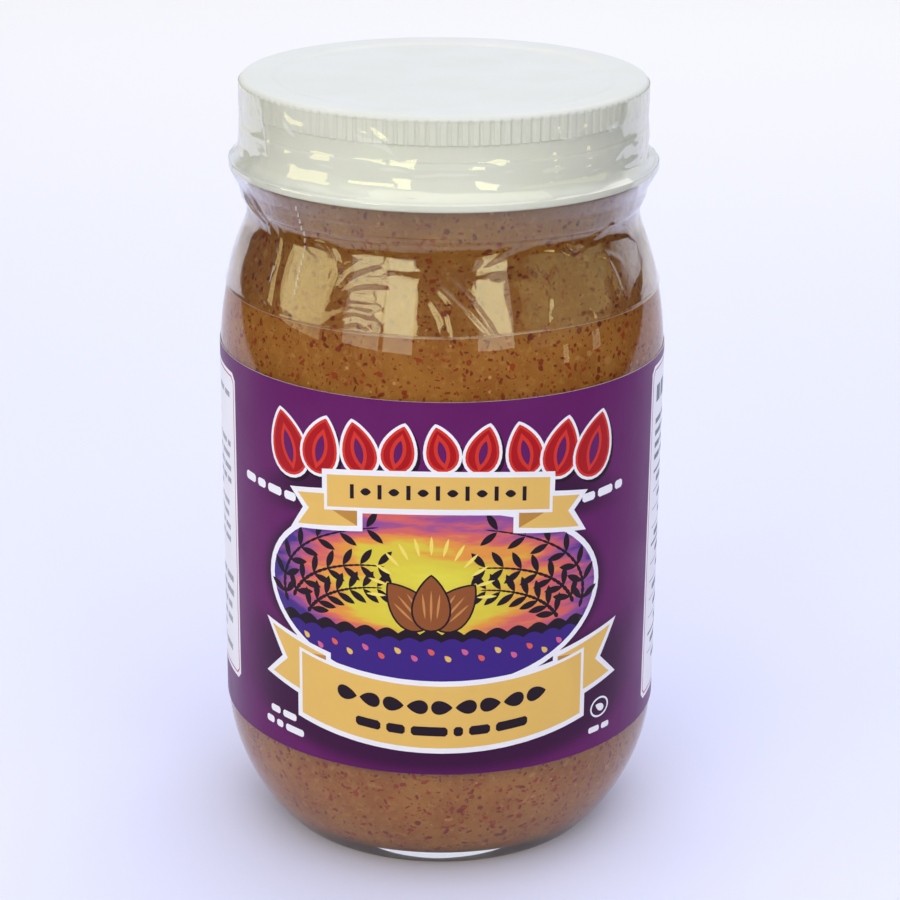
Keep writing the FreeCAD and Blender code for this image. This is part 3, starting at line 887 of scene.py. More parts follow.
def glow_finish():
    """The medallion's ground: warm light that deepens from its middle to its edge, in soft streaks."""
    material, tree, shader, place = new_material("ink_glow")
    printed = add_node(tree, "ShaderNodeUVMap", uv_map="print").outputs[0]
    across, up, half_width, half_height = MEDALLION
    centred = dict(zip(PATCH_VALUES, (across, up + 1.0, half_width, half_height)))
    distance = use_group(tree, SOFT_PATCH, {"Place": printed} | centred)["Distance"]
    stretched = add_node(tree, "ShaderNodeMapping", {"Vector": printed, "Scale": (0.06, 0.28, 1.0)})
    streaks = clouds(tree, stretched.outputs[0], 1.0, roughness=0.55)
    wander = product(tree, maths(tree, "SUBTRACT", streaks, 0.5), 0.9)
    ramp = add_node(tree, "ShaderNodeValToRGB", {0: maths(tree, "ADD", distance, wander)})
    ramp.color_ramp.interpolation = "EASE"
    stops = ramp.color_ramp.elements
    for index, (at, tone) in enumerate(GLOW_TONES):
        stop = stops[index] if index < 2 else stops.new(at)
        stop.position = at
        stop.color = tone
    paper_gloss(tree, shader, place, ramp.outputs[0])
    return material


# ---------------------------------------------------------------- glass and contents


def side_outline(inset, foot_sweep):
    """The jar's side from the heel up to the neck, a given distance inside its outer face."""
    heel = (BODY_RADIUS - HEEL_RADIUS, HEEL_HEIGHT)
    shoulder = (BODY_RADIUS - SHOULDER_RADIUS, STRAIGHT_TOP)
    neck = (NECK_RADIUS + NECK_ROUND, NECK_BOTTOM)
    return (arc(heel, HEEL_RADIUS - inset, -foot_sweep, 0, 24)
            + upright(BODY_RADIUS - inset, HEEL_HEIGHT + 1, STRAIGHT_TOP - 1, 10)
            + arc(shoulder, SHOULDER_RADIUS - inset, 0, SHOULDER_SWEEP, 20)
            + arc(neck, NECK_ROUND + inset, 180 + SHOULDER_SWEEP, 180, 8))


def inside_outline(inset):
    """The space in the jar from the middle of its floor up to the neck."""
    floor = BASE_THICKNESS - WALL + inset
    heel_inner = HEEL_RADIUS - inset
    corner_height = floor + FLOOR_ROUND
    sweep = math.degrees(math.asin((HEEL_HEIGHT - corner_height) / (heel_inner - FLOOR_ROUND)))
    corner = BODY_RADIUS - HEEL_RADIUS + (heel_inner - FLOOR_ROUND) * math.cos(math.radians(sweep))
    middle = [(radius, floor) for radius in np.linspace(0, corner, 8)]
    return middle + arc((corner, corner_height), FLOOR_ROUND, -90, -sweep, 8) + side_outline(inset, sweep)


def make_glass():
    """The jar: a ring foot with a push-up, a curved heel and shoulder, a plain neck and a round rim."""
    foot_reach = (HEEL_RADIUS - FOOT_ROUND) * math.cos(math.radians(FOOT_SWEEP))
    foot_centre = BODY_RADIUS - HEEL_RADIUS + foot_reach
    foot_inner = foot_centre - FOOT_WIDTH
    foot = softened([(0, PUSH_UP), (12, PUSH_UP), (foot_inner - PUSH_SLOPE, PUSH_UP, 1.2),
                     (foot_inner, 0, 0.6), (foot_centre, 0)])
    neck_inner = NECK_RADIUS - WALL
    rim_height = GLASS_TOP - RIM_ROUND
    rim = (upright(NECK_RADIUS, NECK_BOTTOM, rim_height, 8)
           + arc((NECK_RADIUS - RIM_ROUND, rim_height), RIM_ROUND, 0, 90, 6)
           + arc((neck_inner + RIM_ROUND, rim_height), RIM_ROUND, 90, 180, 6)
           + upright(neck_inner, rim_height, NECK_BOTTOM, 8))
    outline = (foot + arc((foot_centre, FOOT_ROUND), FOOT_ROUND, -90, -FOOT_SWEEP, 10)
               + side_outline(0, FOOT_SWEEP) + rim + inside_outline(WALL)[::-1])
    piece = turned("glass", outline, GLASS_SEGMENTS)
    piece.data.materials.append(clear_finish("clear_glass", GLASS_TINT, GLASS_SHEEN, 1.5, 0.0, 45.0, 0.05))
    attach(piece, "root")
    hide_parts("jar_glass")


def make_butter():
    """The contents, pressed into the glass's inner face, with skins and nut pieces at their surface."""
    inset = WALL - CONTENTS_REACH
    top = [(radius, FILL_LEVEL) for radius in (NECK_RADIUS - inset, 24, 12, 0)]
    butter = turned("butter", inside_outline(inset) + top, BUTTER_SEGMENTS)
    butter.data.materials.append(butter_finish())
    tree = make_bits_tree()
    pieces = [butter]
    for name, finish, dark, light, per_square_metre, least, most, slimness, thickness, sink, seed in BITS:
        pieces.append(grown_piece(name, butter, tree, {
            "Density": per_square_metre, "Smallest": least * MM, "Largest": most * MM,
            "Slimness": slimness, "Thickness": thickness, "Sink": sink * MM, "Seed": seed,
            "Hidden above": (LABEL_BOTTOM + 2) * MM, "Hidden below": (LABEL_TOP - 2) * MM,
            "Material": bit_finish(finish, dark, light)}))
    for piece in pieces:
        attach(piece, "root")
    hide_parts("almond_butter")


# ---------------------------------------------------------------- lid


def make_lid():
    """The screw lid: a recessed panel, a fluted edge, a groove, and a skirt flared to a rolled bead."""
    sheet_inner = GROOVE_RADIUS - LID_SHEET
    knurl_inner = KNURL_RADIUS - FLUTE_DEPTH - LID_SHEET
    skirt_inner = SKIRT_RADIUS - LID_SHEET
    under = [
        (0, GLASS_TOP), (16, GLASS_TOP), (knurl_inner, GLASS_TOP), (knurl_inner, KNURL_BOTTOM),
        (sheet_inner, KNURL_BOTTOM), (sheet_inner, SKIRT_TOP - LID_SHEET),
        (skirt_inner, SKIRT_TOP - LID_SHEET),
    ]
    inner_skirt = (arc((FLARE_RADIUS, FLARE_TOP), FLARE + LID_SHEET, 180, 256, 6)
                   + [(FLARE_RADIUS - LID_SHEET, LID_BOTTOM)])
    bead = (arc((FLARE_RADIUS, LID_BOTTOM + BEAD_LIP), BEAD_LIP, -90, 0, 6)
            + arc((FLARE_RADIUS, BEAD_TOP - BEAD_LIP), BEAD_LIP, 0, 84, 6))
    skirt = (bead + arc((FLARE_RADIUS, FLARE_TOP), FLARE, 266, 180, 9)
             + upright(SKIRT_RADIUS, FLARE_TOP + 0.6, SKIRT_TOP - SKIRT_RISE - 0.4, 5)
             + arc((GROOVE_RADIUS, SKIRT_TOP - SKIRT_RISE), SKIRT_RISE, 0, 78, 6)
             + softened([(GROOVE_RADIUS + 0.1, SKIRT_TOP), (GROOVE_RADIUS, SKIRT_TOP + 0.1, 0.1),
                         (GROOVE_RADIUS, KNURL_BOTTOM - KNURL_RISE)])
             + arc((KNURL_RADIUS, KNURL_BOTTOM - KNURL_RISE), KNURL_RISE, 180, 100, 5))
    edge = (upright(KNURL_RADIUS, KNURL_BOTTOM, KNURL_TOP, 8)
            + arc((KNURL_RADIUS - LID_ROUND, KNURL_TOP), LID_ROUND, 0, 90, 8))
    panel = softened([(PANEL_RADIUS + 1.6, LID_TOP), (PANEL_RADIUS + 0.8, LID_TOP, 0.5),
                      (PANEL_RADIUS - 0.4, LID_TOP - PANEL_STEP, 0.6), (26, LID_TOP - PANEL_STEP),
                      (14, LID_TOP - PANEL_STEP), (5, LID_TOP - PANEL_STEP), (0, LID_TOP - PANEL_STEP)])
    blank = turned("lid_blank", under + inner_skirt + skirt + edge + panel, FLUTES * 8)
    lid = grown_piece("lid_shell", blank, make_fluting_tree(), {
        "Count": FLUTES, "Depth": FLUTE_DEPTH * MM, "Inner radius": (KNURL_RADIUS - 0.6) * MM,
        "Low": (KNURL_BOTTOM + 0.3) * MM, "High": (KNURL_TOP - 0.2) * MM, "Fade": 0.9 * MM,
        "Material": enamel_finish()})
    bpy.data.objects.remove(blank)
    shade_smooth(lid.data)
    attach(lid, "root")
    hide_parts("lid")


# ---------------------------------------------------------------- label print


def turned_point(point, centre, tilt):
    """A point about the origin tilted anticlockwise and carried to a centre."""
    turn = math.radians(tilt)
    across = point[0] * math.cos(turn) - point[1] * math.sin(turn)
    up = point[0] * math.sin(turn) + point[1] * math.cos(turn)
    return (centre[0] + across, centre[1] + up)


def bar(left, bottom, right, top, chamfer=0.0):
    """A rectangle, with its corners cut if a chamfer is given."""
    if not chamfer:
        return [(left, bottom), (right, bottom), (right, top), (left, top)]
    return [(left + chamfer, bottom), (right - chamfer, bottom), (right, bottom + chamfer),
            (right, top - chamfer), (right - chamfer, top), (left + chamfer, top),
            (left, top - chamfer), (left, bottom + chamfer)]


def oval(centre, half_width, half_height, start=0, end=360, steps=64):
    """An oval, or a part of one."""
    turns = np.radians(np.linspace(start, end, steps, endpoint=end - start < 360))
    return [(centre[0] + half_width * math.cos(t), centre[1] + half_height * math.sin(t)) for t in turns]


def almond(centre, length, width, tilt=0):
    """An almond: round at its foot and drawn to a point at its head, which stands up at no tilt."""
    outline = []
    for turn in np.radians(np.linspace(180, 540, 28, endpoint=False)):
        up = length / 2 * math.cos(turn)
        across = -width / 2 * math.sin(turn) * abs(math.sin(turn / 2)) ** 0.7 * 1.25
        outline.append(turned_point((across, up), centre, tilt))
    return outline


def leaf(centre, length, width, tilt=0):
    """A leaf pointed at both ends, lying along the tilt."""
    upper = [(length * (share - 0.5), width / 2 * math.sin(math.pi * share) ** 0.8)
             for share in np.linspace(1, 0, 8)]
    lower = [(across, -up) for across, up in reversed(upper[1:-1])]
    return [turned_point(point, centre, tilt) for point in upper + lower]


def arched(outline, middle, reach, rise):
    """An outline bent so that its middle stands higher than its ends by the rise."""
    return [(a, up + rise * (1 - ((a - middle) / reach) ** 2)) for a, up in outline]


def anticlockwise(outline):
    """The outline in anticlockwise order."""
    across, up = np.array(outline).T
    twice_area = np.sum(across * np.roll(up, -1) - np.roll(across, -1) * up)
    return list(outline) if twice_area > 0 else list(outline)[::-1]


def grown(outline, by):
    """An outline moved outwards by a distance, its sharp tips kept short."""
    points = np.array(anticlockwise(outline))
    along = np.roll(points, -1, axis=0) - points
    along /= np.linalg.norm(along, axis=1)[:, None]
    ahead = np.stack((along[:, 1], -along[:, 0]), axis=1)
    mitre = ahead + np.roll(ahead, 1, axis=0)
    mitre /= np.linalg.norm(mitre, axis=1)[:, None]
    reach = np.minimum(1 / np.maximum((mitre * ahead).sum(axis=1), 0.3), 1.9)
    return [tuple(p) for p in points + by * mitre * reach[:, None]]


def long_bar(left, right, bottom, top, steps=14):
    """A bar with points along its long sides, so that it can be arched."""
    across = np.linspace(left, right, steps + 1)
    return [(a, bottom) for a in across] + [(a, top) for a in across[::-1]]


def ribbon(middle, foot, half_width, height, rise, tail_reach, tail_height, tail_drop, tail_inset):
    """A ribbon with swallow-tailed ends tucked behind it, edged in white."""
    def bent(outline):
        return arched(outline, middle, half_width, rise)

    front = bent(long_bar(middle - half_width, middle + half_width, foot, foot + height))
    low, high = foot - tail_drop, foot - tail_drop + tail_height
    edge = foot if tail_drop > 0 else foot + height
    back = low if tail_drop > 0 else high
    tails, folds = [], []
    for side in (-1, 1):
        outer, notch = middle + side * tail_reach, middle + side * (tail_reach - tail_height * 0.42)
        inner = middle + side * (half_width - tail_inset)
        tail = [(inner, low), (outer, low), (notch, (low + high) / 2), (outer, high), (inner, high)]
        tails.append(bent(tail))
        folds.append(bent([(inner, back), (inner, edge), (middle + side * half_width, edge)]))
    shapes = [(grown(tail, RIBBON_EDGE), "white") for tail in tails]
    shapes += [(grown(front, RIBBON_EDGE), "white")]
    shapes += [(tail, "yellow") for tail in tails]
    shapes += [(fold, "ochre") for fold in folds]
    shapes += [(grown(front, RIBBON_EDGE * 0.6), "white"), (front, "yellow")]
    return shapes


def almond_row():
    """A row of red almonds edged in white, each split down its middle, larger towards the row's ends."""
    shapes = []
    for index in range(ROW_COUNT):
        share = 2 * index / (ROW_COUNT - 1) - 1
        length = 7.8 + 3.4 * abs(share) ** 1.6
        centre = (27.6 * share, 84.0 + 0.5 * (1 - share ** 2) - length / 2)
        tilt = (-1) ** index * 13 if abs(share) < 1 else -16 * share
        nut = almond(centre, length, length * 0.66, tilt)
        drop = [(across + 0.5, up - 0.6) for across, up in nut]
        below = turned_point((0, -length * 0.06), centre, tilt)
        slit = leaf(below, length * 0.52, length * 0.17, tilt + 90)
        shapes += [(grown(drop, 0.5), "shadow"), (grown(nut, 0.5), "white"), (nut, "orange_red"),
                   (grown(nut, -0.45), "red"), (grown(slit, 0.6), "orange_red"), (slit, "purple")]
    return shapes


def sprig(turns, reach, drift, leaf_length):
    """A stem that leaves the medallion's edge and drifts inwards, with leaves in pairs along it."""
    across, up, half_width, half_height = MEDALLION
    stem = []
    for turn, share in zip(np.radians(np.linspace(*turns, 21)), np.linspace(0, 1, 21)):
        far = reach - drift * share
        stem.append((across + half_width * far * math.cos(turn), up + half_height * far * math.sin(turn)))
    shapes = []
    for index, (here, ahead) in enumerate(zip(stem, stem[1:])):
        heading = math.degrees(math.atan2(ahead[1] - here[1], ahead[0] - here[0]))
        middle = ((here[0] + ahead[0]) / 2, (here[1] + ahead[1]) / 2)
        thick = 0.8 - 0.028 * index
        shapes.append((leaf(middle, math.dist(here, ahead) * 1.7, thick, heading), "black"))
        if index % 3 == 1:
            for side in (-1, 1):
                lean = heading + side * 48
                place = turned_point((leaf_length * 0.56, 0), here, lean)
                shapes.append((leaf(place, leaf_length, leaf_length * 0.34, lean), "black"))
    return shapes


def scalloped(top, count, depth, turns):
    """The foot of the medallion up to a scalloped edge at a height."""
    across, up, half_width, half_height = MEDALLION
    foot = oval((across, up), half_width, half_height, *turns, steps=24)
    span = foot[-1][0] - foot[0][0]
    edge = []
    for share in np.linspace(0, 1, 8 * count + 1)[1:-1]:
        edge.append((foot[-1][0] - span * share, top + depth * abs(math.sin(count * math.pi * share))))
    return foot + edge


def medallion():
    """A glowing oval framed by dark sprigs round three almonds, over a scalloped violet cloth."""
    across, up, half_width, half_height = MEDALLION
    shapes = [(oval((across, up), half_width + 1, half_height + 1), "white"),
              (oval((across, up), half_width, half_height), "glow"),
              (scalloped(up - 6.2, 15, 0.9, (203, 337)), "black"),
              (scalloped(up - 7.6, 15, 0.7, (209, 331)), "violet")]
    for index in range(17):
        spot = (across - 22.4 + 2.8 * index, up - 9.3 - 1.2 * (index % 2))
        shapes.append((almond(spot, 1.4, 0.9, 45), ("yellow", "pink", "rose")[index % 3]))
    for turns, reach, drift in SPRIGS:
        shapes += sprig(turns, reach, drift, 3.6)
        shapes += sprig([180 - turn for turn in turns], reach, drift, 3.6)
    centre = (across, up + 0.4)
    for index in range(13):
        ray = leaf(turned_point((9.2, 0), centre, 15 * index), 3.4, 0.6, 15 * index)
        shapes.append((ray, "lemon"))
    for tilt, shift in ((40, -4.0), (-40, 4.0), (0, 0)):
        middle = (across + shift, up - 0.6 - abs(shift) * 0.16)
        nut = almond(middle, 9.6, 5.9, tilt)
        shapes += [(grown(nut, 0.32), "black"), (nut, "brown")]
        for streak in (-1.2, 0, 1.2):
            place = turned_point((streak, -0.5), middle, tilt)
            shapes.append((leaf(place, 5.8 - abs(streak), 0.42, tilt + 90 - streak * 5), "tan"))
    return shapes


def marks(centre, widths, height, gap, ink, slant=0.0):
    """A row of short bars about a centre, on a slant if given."""
    total = sum(widths) + gap * (len(widths) - 1)
    left = centre[0] - total / 2
    shapes = []
    for width in widths:
        middle = (left + width / 2 - centre[0], 0)
        place = turned_point(middle, centre, slant)
        corners = bar(-width / 2, -height / 2, width / 2, height / 2, min(width, height) * 0.25)
        shapes.append(([turned_point(corner, place, slant) for corner in corners], ink))
        left += width + gap
    return shapes


def text_field(left, right, top, bottom, height, gap, ink, seed):
    """Lines of small bars that stand for a panel of print."""
    rng = random.Random(seed)
    shapes = []
    level = top
    while level - height > bottom:
        place = left
        end = right - rng.choice((0, 0, 0, 6, 14))
        while place < end - 1.5:
            width = min(rng.uniform(1.6, 5.5), end - place)
            shapes.append((bar(place, level - height, place + width, level), ink))
            place += width + 0.8
        level -= height + gap
    return shapes


def side_panels():
    """The white panels of small print at both sides of the label."""
    shapes = []
    for left, right, bottom, top in (SMALL_PRINT_LEFT, SMALL_PRINT_RIGHT):
        shapes += [(bar(left, bottom, right, top, 1.2), "white"),
                   (bar(left + 0.7, bottom + 0.7, right - 0.7, top - 0.7, 1.0), "red"),
                   (bar(left + 0.95, bottom + 0.95, right - 0.95, top - 0.95, 0.9), "white")]
    left, right, bottom, top = SMALL_PRINT_LEFT
    shapes += text_field(left + 3, right - 3, top - 4, top - 34, 1.0, 1.25, "grey", 3)
    shapes += text_field(left + 3, right - 3, top - 38, bottom + 3, 1.2, 1.5, "grey", 4)
    left, right, bottom, top = SMALL_PRINT_RIGHT
    shapes += text_field(left + 3, right - 20, top - 4, top - 8, 3.0, 2.0, "slate", 5)
    shapes += text_field(left + 3, right - 20, top - 10, top - 18, 1.0, 1.2, "slate", 6)
    for index in range(11):
        level = top - 20 - 3.4 * index
        thick = 0.5 if index in (0, 4, 9) else 0.16
        shapes.append((bar(left + 3, level, right - 20, level + thick), "slate"))
        shapes += marks((left + 10 + 2 * (index % 3), level - 1.6), (5 + index % 3, 4), 1.1, 1.0, "slate")
        shapes += marks((right - 24, level - 1.6), (3.0,), 1.1, 1.0, "slate")
    shapes += text_field(right - 16, right - 3, top - 4, bottom + 4, 1.0, 1.2, "grey", 7)
    return shapes


def small_marks():
    """The little white marks on the purple ground round the ribbons, and a ring round an almond."""
    shapes = []
    for centre, widths, height, gap, slant in SMALL_MARKS:
        shapes += marks(centre, widths, height, gap, "white", slant)
    shapes += [(oval(RING, 2.3, 1.9, steps=28), "white"), (oval(RING, 1.95, 1.55, steps=28), "purple"),
               (almond(RING, 2.3, 1.3, 60), "white")]
    return shapes + marks((30.6, 25.9), (2.6, 2.0), 1.1, 0.6, "white")


def ribbon_marks():
    """Plain dark marks where each ribbon carries its name: diamonds, dashes and almonds."""
    middle, foot, half_width, height, rise = UPPER_RIBBON[:5]
    shapes = []
    for index in range(13):
        across, up = middle - 14.4 + 2.4 * index, foot + height / 2
        dash = bar(across - 0.35, up - 1.25, across + 0.35, up + 1.25)
        mark = leaf((across, up), 1.9, 1.3) if index % 2 else dash
        shapes.append((arched(mark, middle, half_width, rise), "black"))
    middle, foot, half_width, height, rise = LOWER_RIBBON[:5]
    row = [almond((middle - 16.4 + 4.1 * index, foot + height * 0.66), 3.6, 2.5, 90 if index % 2 else -90)
           for index in range(9)]
    below = (middle, foot + height * 0.27)
    row += [mark for mark, _ in marks(below, (4.4, 3.2, 6.2, 1.6, 3.6, 5.6), 1.7, 1.0, "black")]
    return shapes + [(arched(mark, middle, half_width, rise), "black") for mark in row]


def make_label():
    """The paper label: one closed sheet round the jar, cut into fields of ink."""
    half = math.pi * LABEL_RADIUS - LABEL_GAP / 2
    ground = bar(-half, LABEL_BOTTOM, half, LABEL_TOP)
    shapes = [(ground, "purple")] + side_panels() + almond_row() + medallion()
    shapes += ribbon(*UPPER_RIBBON) + ribbon(*LOWER_RIBBON) + ribbon_marks() + small_marks()
    places, outlines, lines = [], [], []
    for outline, _ in shapes:
        outlines.append(list(range(len(places), len(places) + len(outline))))
        places.extend(Vector(point) for point in anticlockwise(outline))
    for across in np.linspace(-half, half, LABEL_SEGMENTS + 1)[1:-1]:
        lines.append((len(places), len(places) + 1))
        places.extend((Vector((across, LABEL_BOTTOM)), Vector((across, LABEL_TOP))))
    flat, _, faces, _, _, held_in = delaunay_2d_cdt(places, lines, outlines, 0, 1e-5)
    inks = list(INKS)
    slots = [inks.index(shapes[max(held)][1]) for held in held_in]
    print_scale = 180 / math.pi / LABEL_RADIUS
    outer = [round_place(p.x * print_scale, LABEL_RADIUS, p.y) for p in flat]
    inner = [round_place(p.x * print_scale, BODY_RADIUS + GLUE, p.y) for p in flat]
    piece = closed_shell("paper_label", outer, inner, [tuple(face) for face in faces], slots,
                         inks.index("white"), inks.index("white"))
    printed = piece.data.uv_layers.new(name="print")
    corners = np.empty(len(piece.data.loops), dtype=np.int32)
    piece.data.loops.foreach_get("vertex_index", corners)
    spots = np.array([tuple(p) for p in flat])[corners % len(flat)]
    printed.data.foreach_set("uv", spots.ravel())
    for name, tone in INKS.items():
        special = {"purple": ground_finish, "glow": glow_finish}.get(name)
        piece.data.materials.append(special() if special else ink_finish("ink_" + name, tone))
    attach(piece, "root")
    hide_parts("label")


# ---------------------------------------------------------------- tamper film


def glass_radius(height):
    """The outer radius of the glass at a height on its shoulder or neck."""
    if height < STRAIGHT_TOP:
        return BODY_RADIUS
    arc_end = STRAIGHT_TOP + SHOULDER_RADIUS * math.sin(math.radians(SHOULDER_SWEEP))
    if height < arc_end:
        rise = height - STRAIGHT_TOP
        return BODY_RADIUS - SHOULDER_RADIUS + math.sqrt(SHOULDER_RADIUS ** 2 - rise ** 2)
    if height < NECK_BOTTOM:
        return NECK_RADIUS + NECK_ROUND - math.sqrt(NECK_ROUND ** 2 - (NECK_BOTTOM - height) ** 2)
    return NECK_RADIUS


def waves(angles, seed, knots):
    """Slow waves round the jar between -1 and 1, closed on themselves."""
    rng = random.Random(seed)
    total = np.zeros_like(angles)
    for count in knots:
        total += rng.uniform(0.4, 1.0) * np.sin(np.radians(count * angles) + rng.uniform(0, math.tau))
    return total / len(knots) ** 0.5


def fold_lift(angles, heights, fold):
    """How far one fold raises the film: a ridge along its line, steeper on one side, fading at its ends."""
    line, width, lift = fold
    line = np.array(line, dtype=float)
    knots = np.linspace(0, 1, len(line))
    fine = np.linspace(0, 1, 4 * len(line))
    path = np.stack([np.interp(fine, knots, line[:, 0]), np.interp(fine, knots, line[:, 1])], axis=1)
    arc_scale = math.radians(1) * FOLD_RADIUS
    nearest = np.full(angles.shape, 1e9)
    share = np.zeros_like(angles)
    for index, (start, end) in enumerate(zip(path, path[1:])):
        run = np.array([(end[0] - start[0]) * arc_scale, end[1] - start[1]])
        off_across = (angles - start[0]) * arc_scale
        off_up = heights - start[1]
        along = np.clip((off_across * run[0] + off_up * run[1]) / (run @ run), 0, 1)
        gap_across = off_across - along * run[0]
        gap_up = off_up - along * run[1]
        side = np.sign(gap_across * run[1] - gap_up * run[0])
        gap = np.hypot(gap_across, gap_up) * np.where(side > 0, 1.0, 2.2)
        closer = gap < nearest
        nearest = np.where(closer, gap, nearest)
        share = np.where(closer, (index + along) / (len(path) - 1), share)
    taper = np.sin(np.pi * np.clip(share * 0.94 + 0.03, 0, 1)) ** 0.6
    return lift * taper * np.exp(-(nearest / width) ** 2)


def wander(angles, heights, around, up, start=0.0):
    """Smooth random unevenness on the film: its grain round the jar, and its length up the jar."""
    values = []
    for angle, height in zip(angles.ravel(), heights.ravel()):
        turn = math.radians(angle)
        place = (math.sin(turn) * around, math.cos(turn) * around, height / up + start)
        values.append(noise.noise(Vector(place)))
    return np.array(values).reshape(angles.shape)


def film_course(angles, heights):
    """The film's course before it creases: on the glass, out to the bead, in again and up the knurl."""
    glass = np.vectorize(glass_radius)(heights) + FILM_CLEARANCE
    bridge = np.interp(heights + 0.15 * waves(angles, 21, (3, 5, 8)), *zip(*FILM_TO_BEAD))
    over_lid = np.interp(heights, *zip(*FILM_OVER_LID))
    turn = np.radians(angles)
    tent_height = (TENT_HEIGHT - TENT_LEAN * np.sin(turn) + TENT_FRONT * np.clip(np.cos(turn), 0, 1) ** 1.5
                   + TENT_WANDER * waves(angles, 12, (4, 7, 9)))
    tent_share = np.clip((heights - BEAD_TOP + 0.2) / tent_height, 0, 1)
    tent_reach = (BEAD_RADIUS - SKIRT_RADIUS - 0.06) * (1 - tent_share) ** TENT_HOLLOW
    tent = SKIRT_RADIUS + 0.1 + tent_reach
    on_lid = np.where(tent_share < 1, tent, over_lid)
    return np.where(heights < LID_BOTTOM, np.maximum(glass, bridge), on_lid)


def film_surface(angles, heights):
    """The film's inner face: its radius at each angle and height, with its creases."""
    leaves_glass = LEAVES_GLASS + 0.8 * waves(angles, 3, (3, 5, 8))
    free = np.clip((heights - leaves_glass) / 3, 0, 1) * np.clip((LID_BOTTOM - heights) / 2, 0, 1)
    pleats = np.abs(waves(angles, 8, (31, 44, 57, 73))) * PLEAT_LIFT * free
    hem = HEM_LIFT * np.clip(1 - (heights - FILM_BOTTOM) / HEM_HEIGHT, 0, 1)
    loose = np.interp(heights, *zip(*FILM_LOOSE))
    slack = wander(angles, heights, 6.5, 7) + 0.35 * wander(angles, heights, 15, 3)
    drawn = wander(angles, heights, 7, 1.3, 40)
    drawn *= DRAWN_LIFT * np.clip(heights - LID_BOTTOM - 1.2, 0, 1) * np.clip(SKIRT_TOP - heights, 0, 1)
    creases = sum(fold_lift(angles, heights, fold) for fold in FOLDS)
    slack_lift = loose * np.clip(slack + 0.4, 0, 1.4)
    drawn = np.maximum(drawn, -DRAWN_SINK)
    return film_course(angles, heights) + pleats + hem + slack_lift + drawn + creases


def film_rows():
    """The heights of the film's rows."""
    rows = [np.arange(low, high - 0.3 * step, step)
            for (low, step), (high, _) in zip(FILM_ROWS, FILM_ROWS[1:])]
    return np.append(np.concatenate(rows), FILM_TOP)


def make_film():
    """The shrunk film: a closed sheet from the shoulder to just under the lid's rim."""
    around = np.arange(FILM_COLUMNS) * 360 / FILM_COLUMNS
    around = np.where(around > 180, around - 360, around)
    angles, heights = np.meshgrid(around, film_rows())
    radius = film_surface(angles, heights)
    droop = DROOP * waves(angles, 5, (1, 2, 5)) * np.clip(1 - (heights - FILM_BOTTOM) / 3, 0, 1)
    levels = heights + np.maximum(droop, -DROOP_LOWEST)
    flat = list(zip(angles.ravel(), radius.ravel(), levels.ravel()))
    inner = [round_place(a, r, h) for a, r, h in flat]
    outer = [round_place(a, r + FILM_THICKNESS, h) for a, r, h in flat]
    faces = []
    for low in range(0, len(flat) - FILM_COLUMNS, FILM_COLUMNS):
        high = low + FILM_COLUMNS
        for a in range(FILM_COLUMNS):
            b = (a + 1) % FILM_COLUMNS
            faces.append((low + a, low + b, high + b, high + a))
    film = closed_shell("tamper_film", outer, inner, faces, [0] * len(faces), 0, 1)
    film.data.materials.append(clear_finish("clear_film", FILM_TINT, FILM_SHEEN, 1.57, 0.03, 500.0, 0.02))
    # Its cut rims carry the pale painted highlight.
    film.data.materials.append(CUT_FILM_HIGHLIGHT)
    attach(film, "root")
    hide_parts("shrink_band")


def make_tear_line():
    """A row of slits punched down the film."""
    heights = np.linspace(TEAR_TOP, TEAR_BOTTOM, TEAR_POINTS)
    angles = np.full(TEAR_POINTS, TEAR_ANGLE)
    radius = film_surface(angles, heights) + FILM_THICKNESS
    guide = bpy.data.meshes.new("tear_guide")
    guide.from_pydata([round_place(*spot) for spot in zip(angles, radius, heights)],
                      [(a, a + 1) for a in range(TEAR_POINTS - 1)], [])
    line = new_object("tear_guide", guide)
    # The slits carry the pale painted highlight.
    slits = grown_piece("tear_line", line, make_perforation_tree(), {
        "Spacing": SLIT_SPACING * MM, "Slit length": SLIT_LENGTH * MM, "Slit width": SLIT_WIDTH * MM,
        "Lip": SLIT_LIP * MM, "Material": CUT_FILM_HIGHLIGHT})
    bpy.data.objects.remove(line)
    shade_smooth(slits.data)
    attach(slits, "root")


# ---------------------------------------------------------------- stage, light and camera


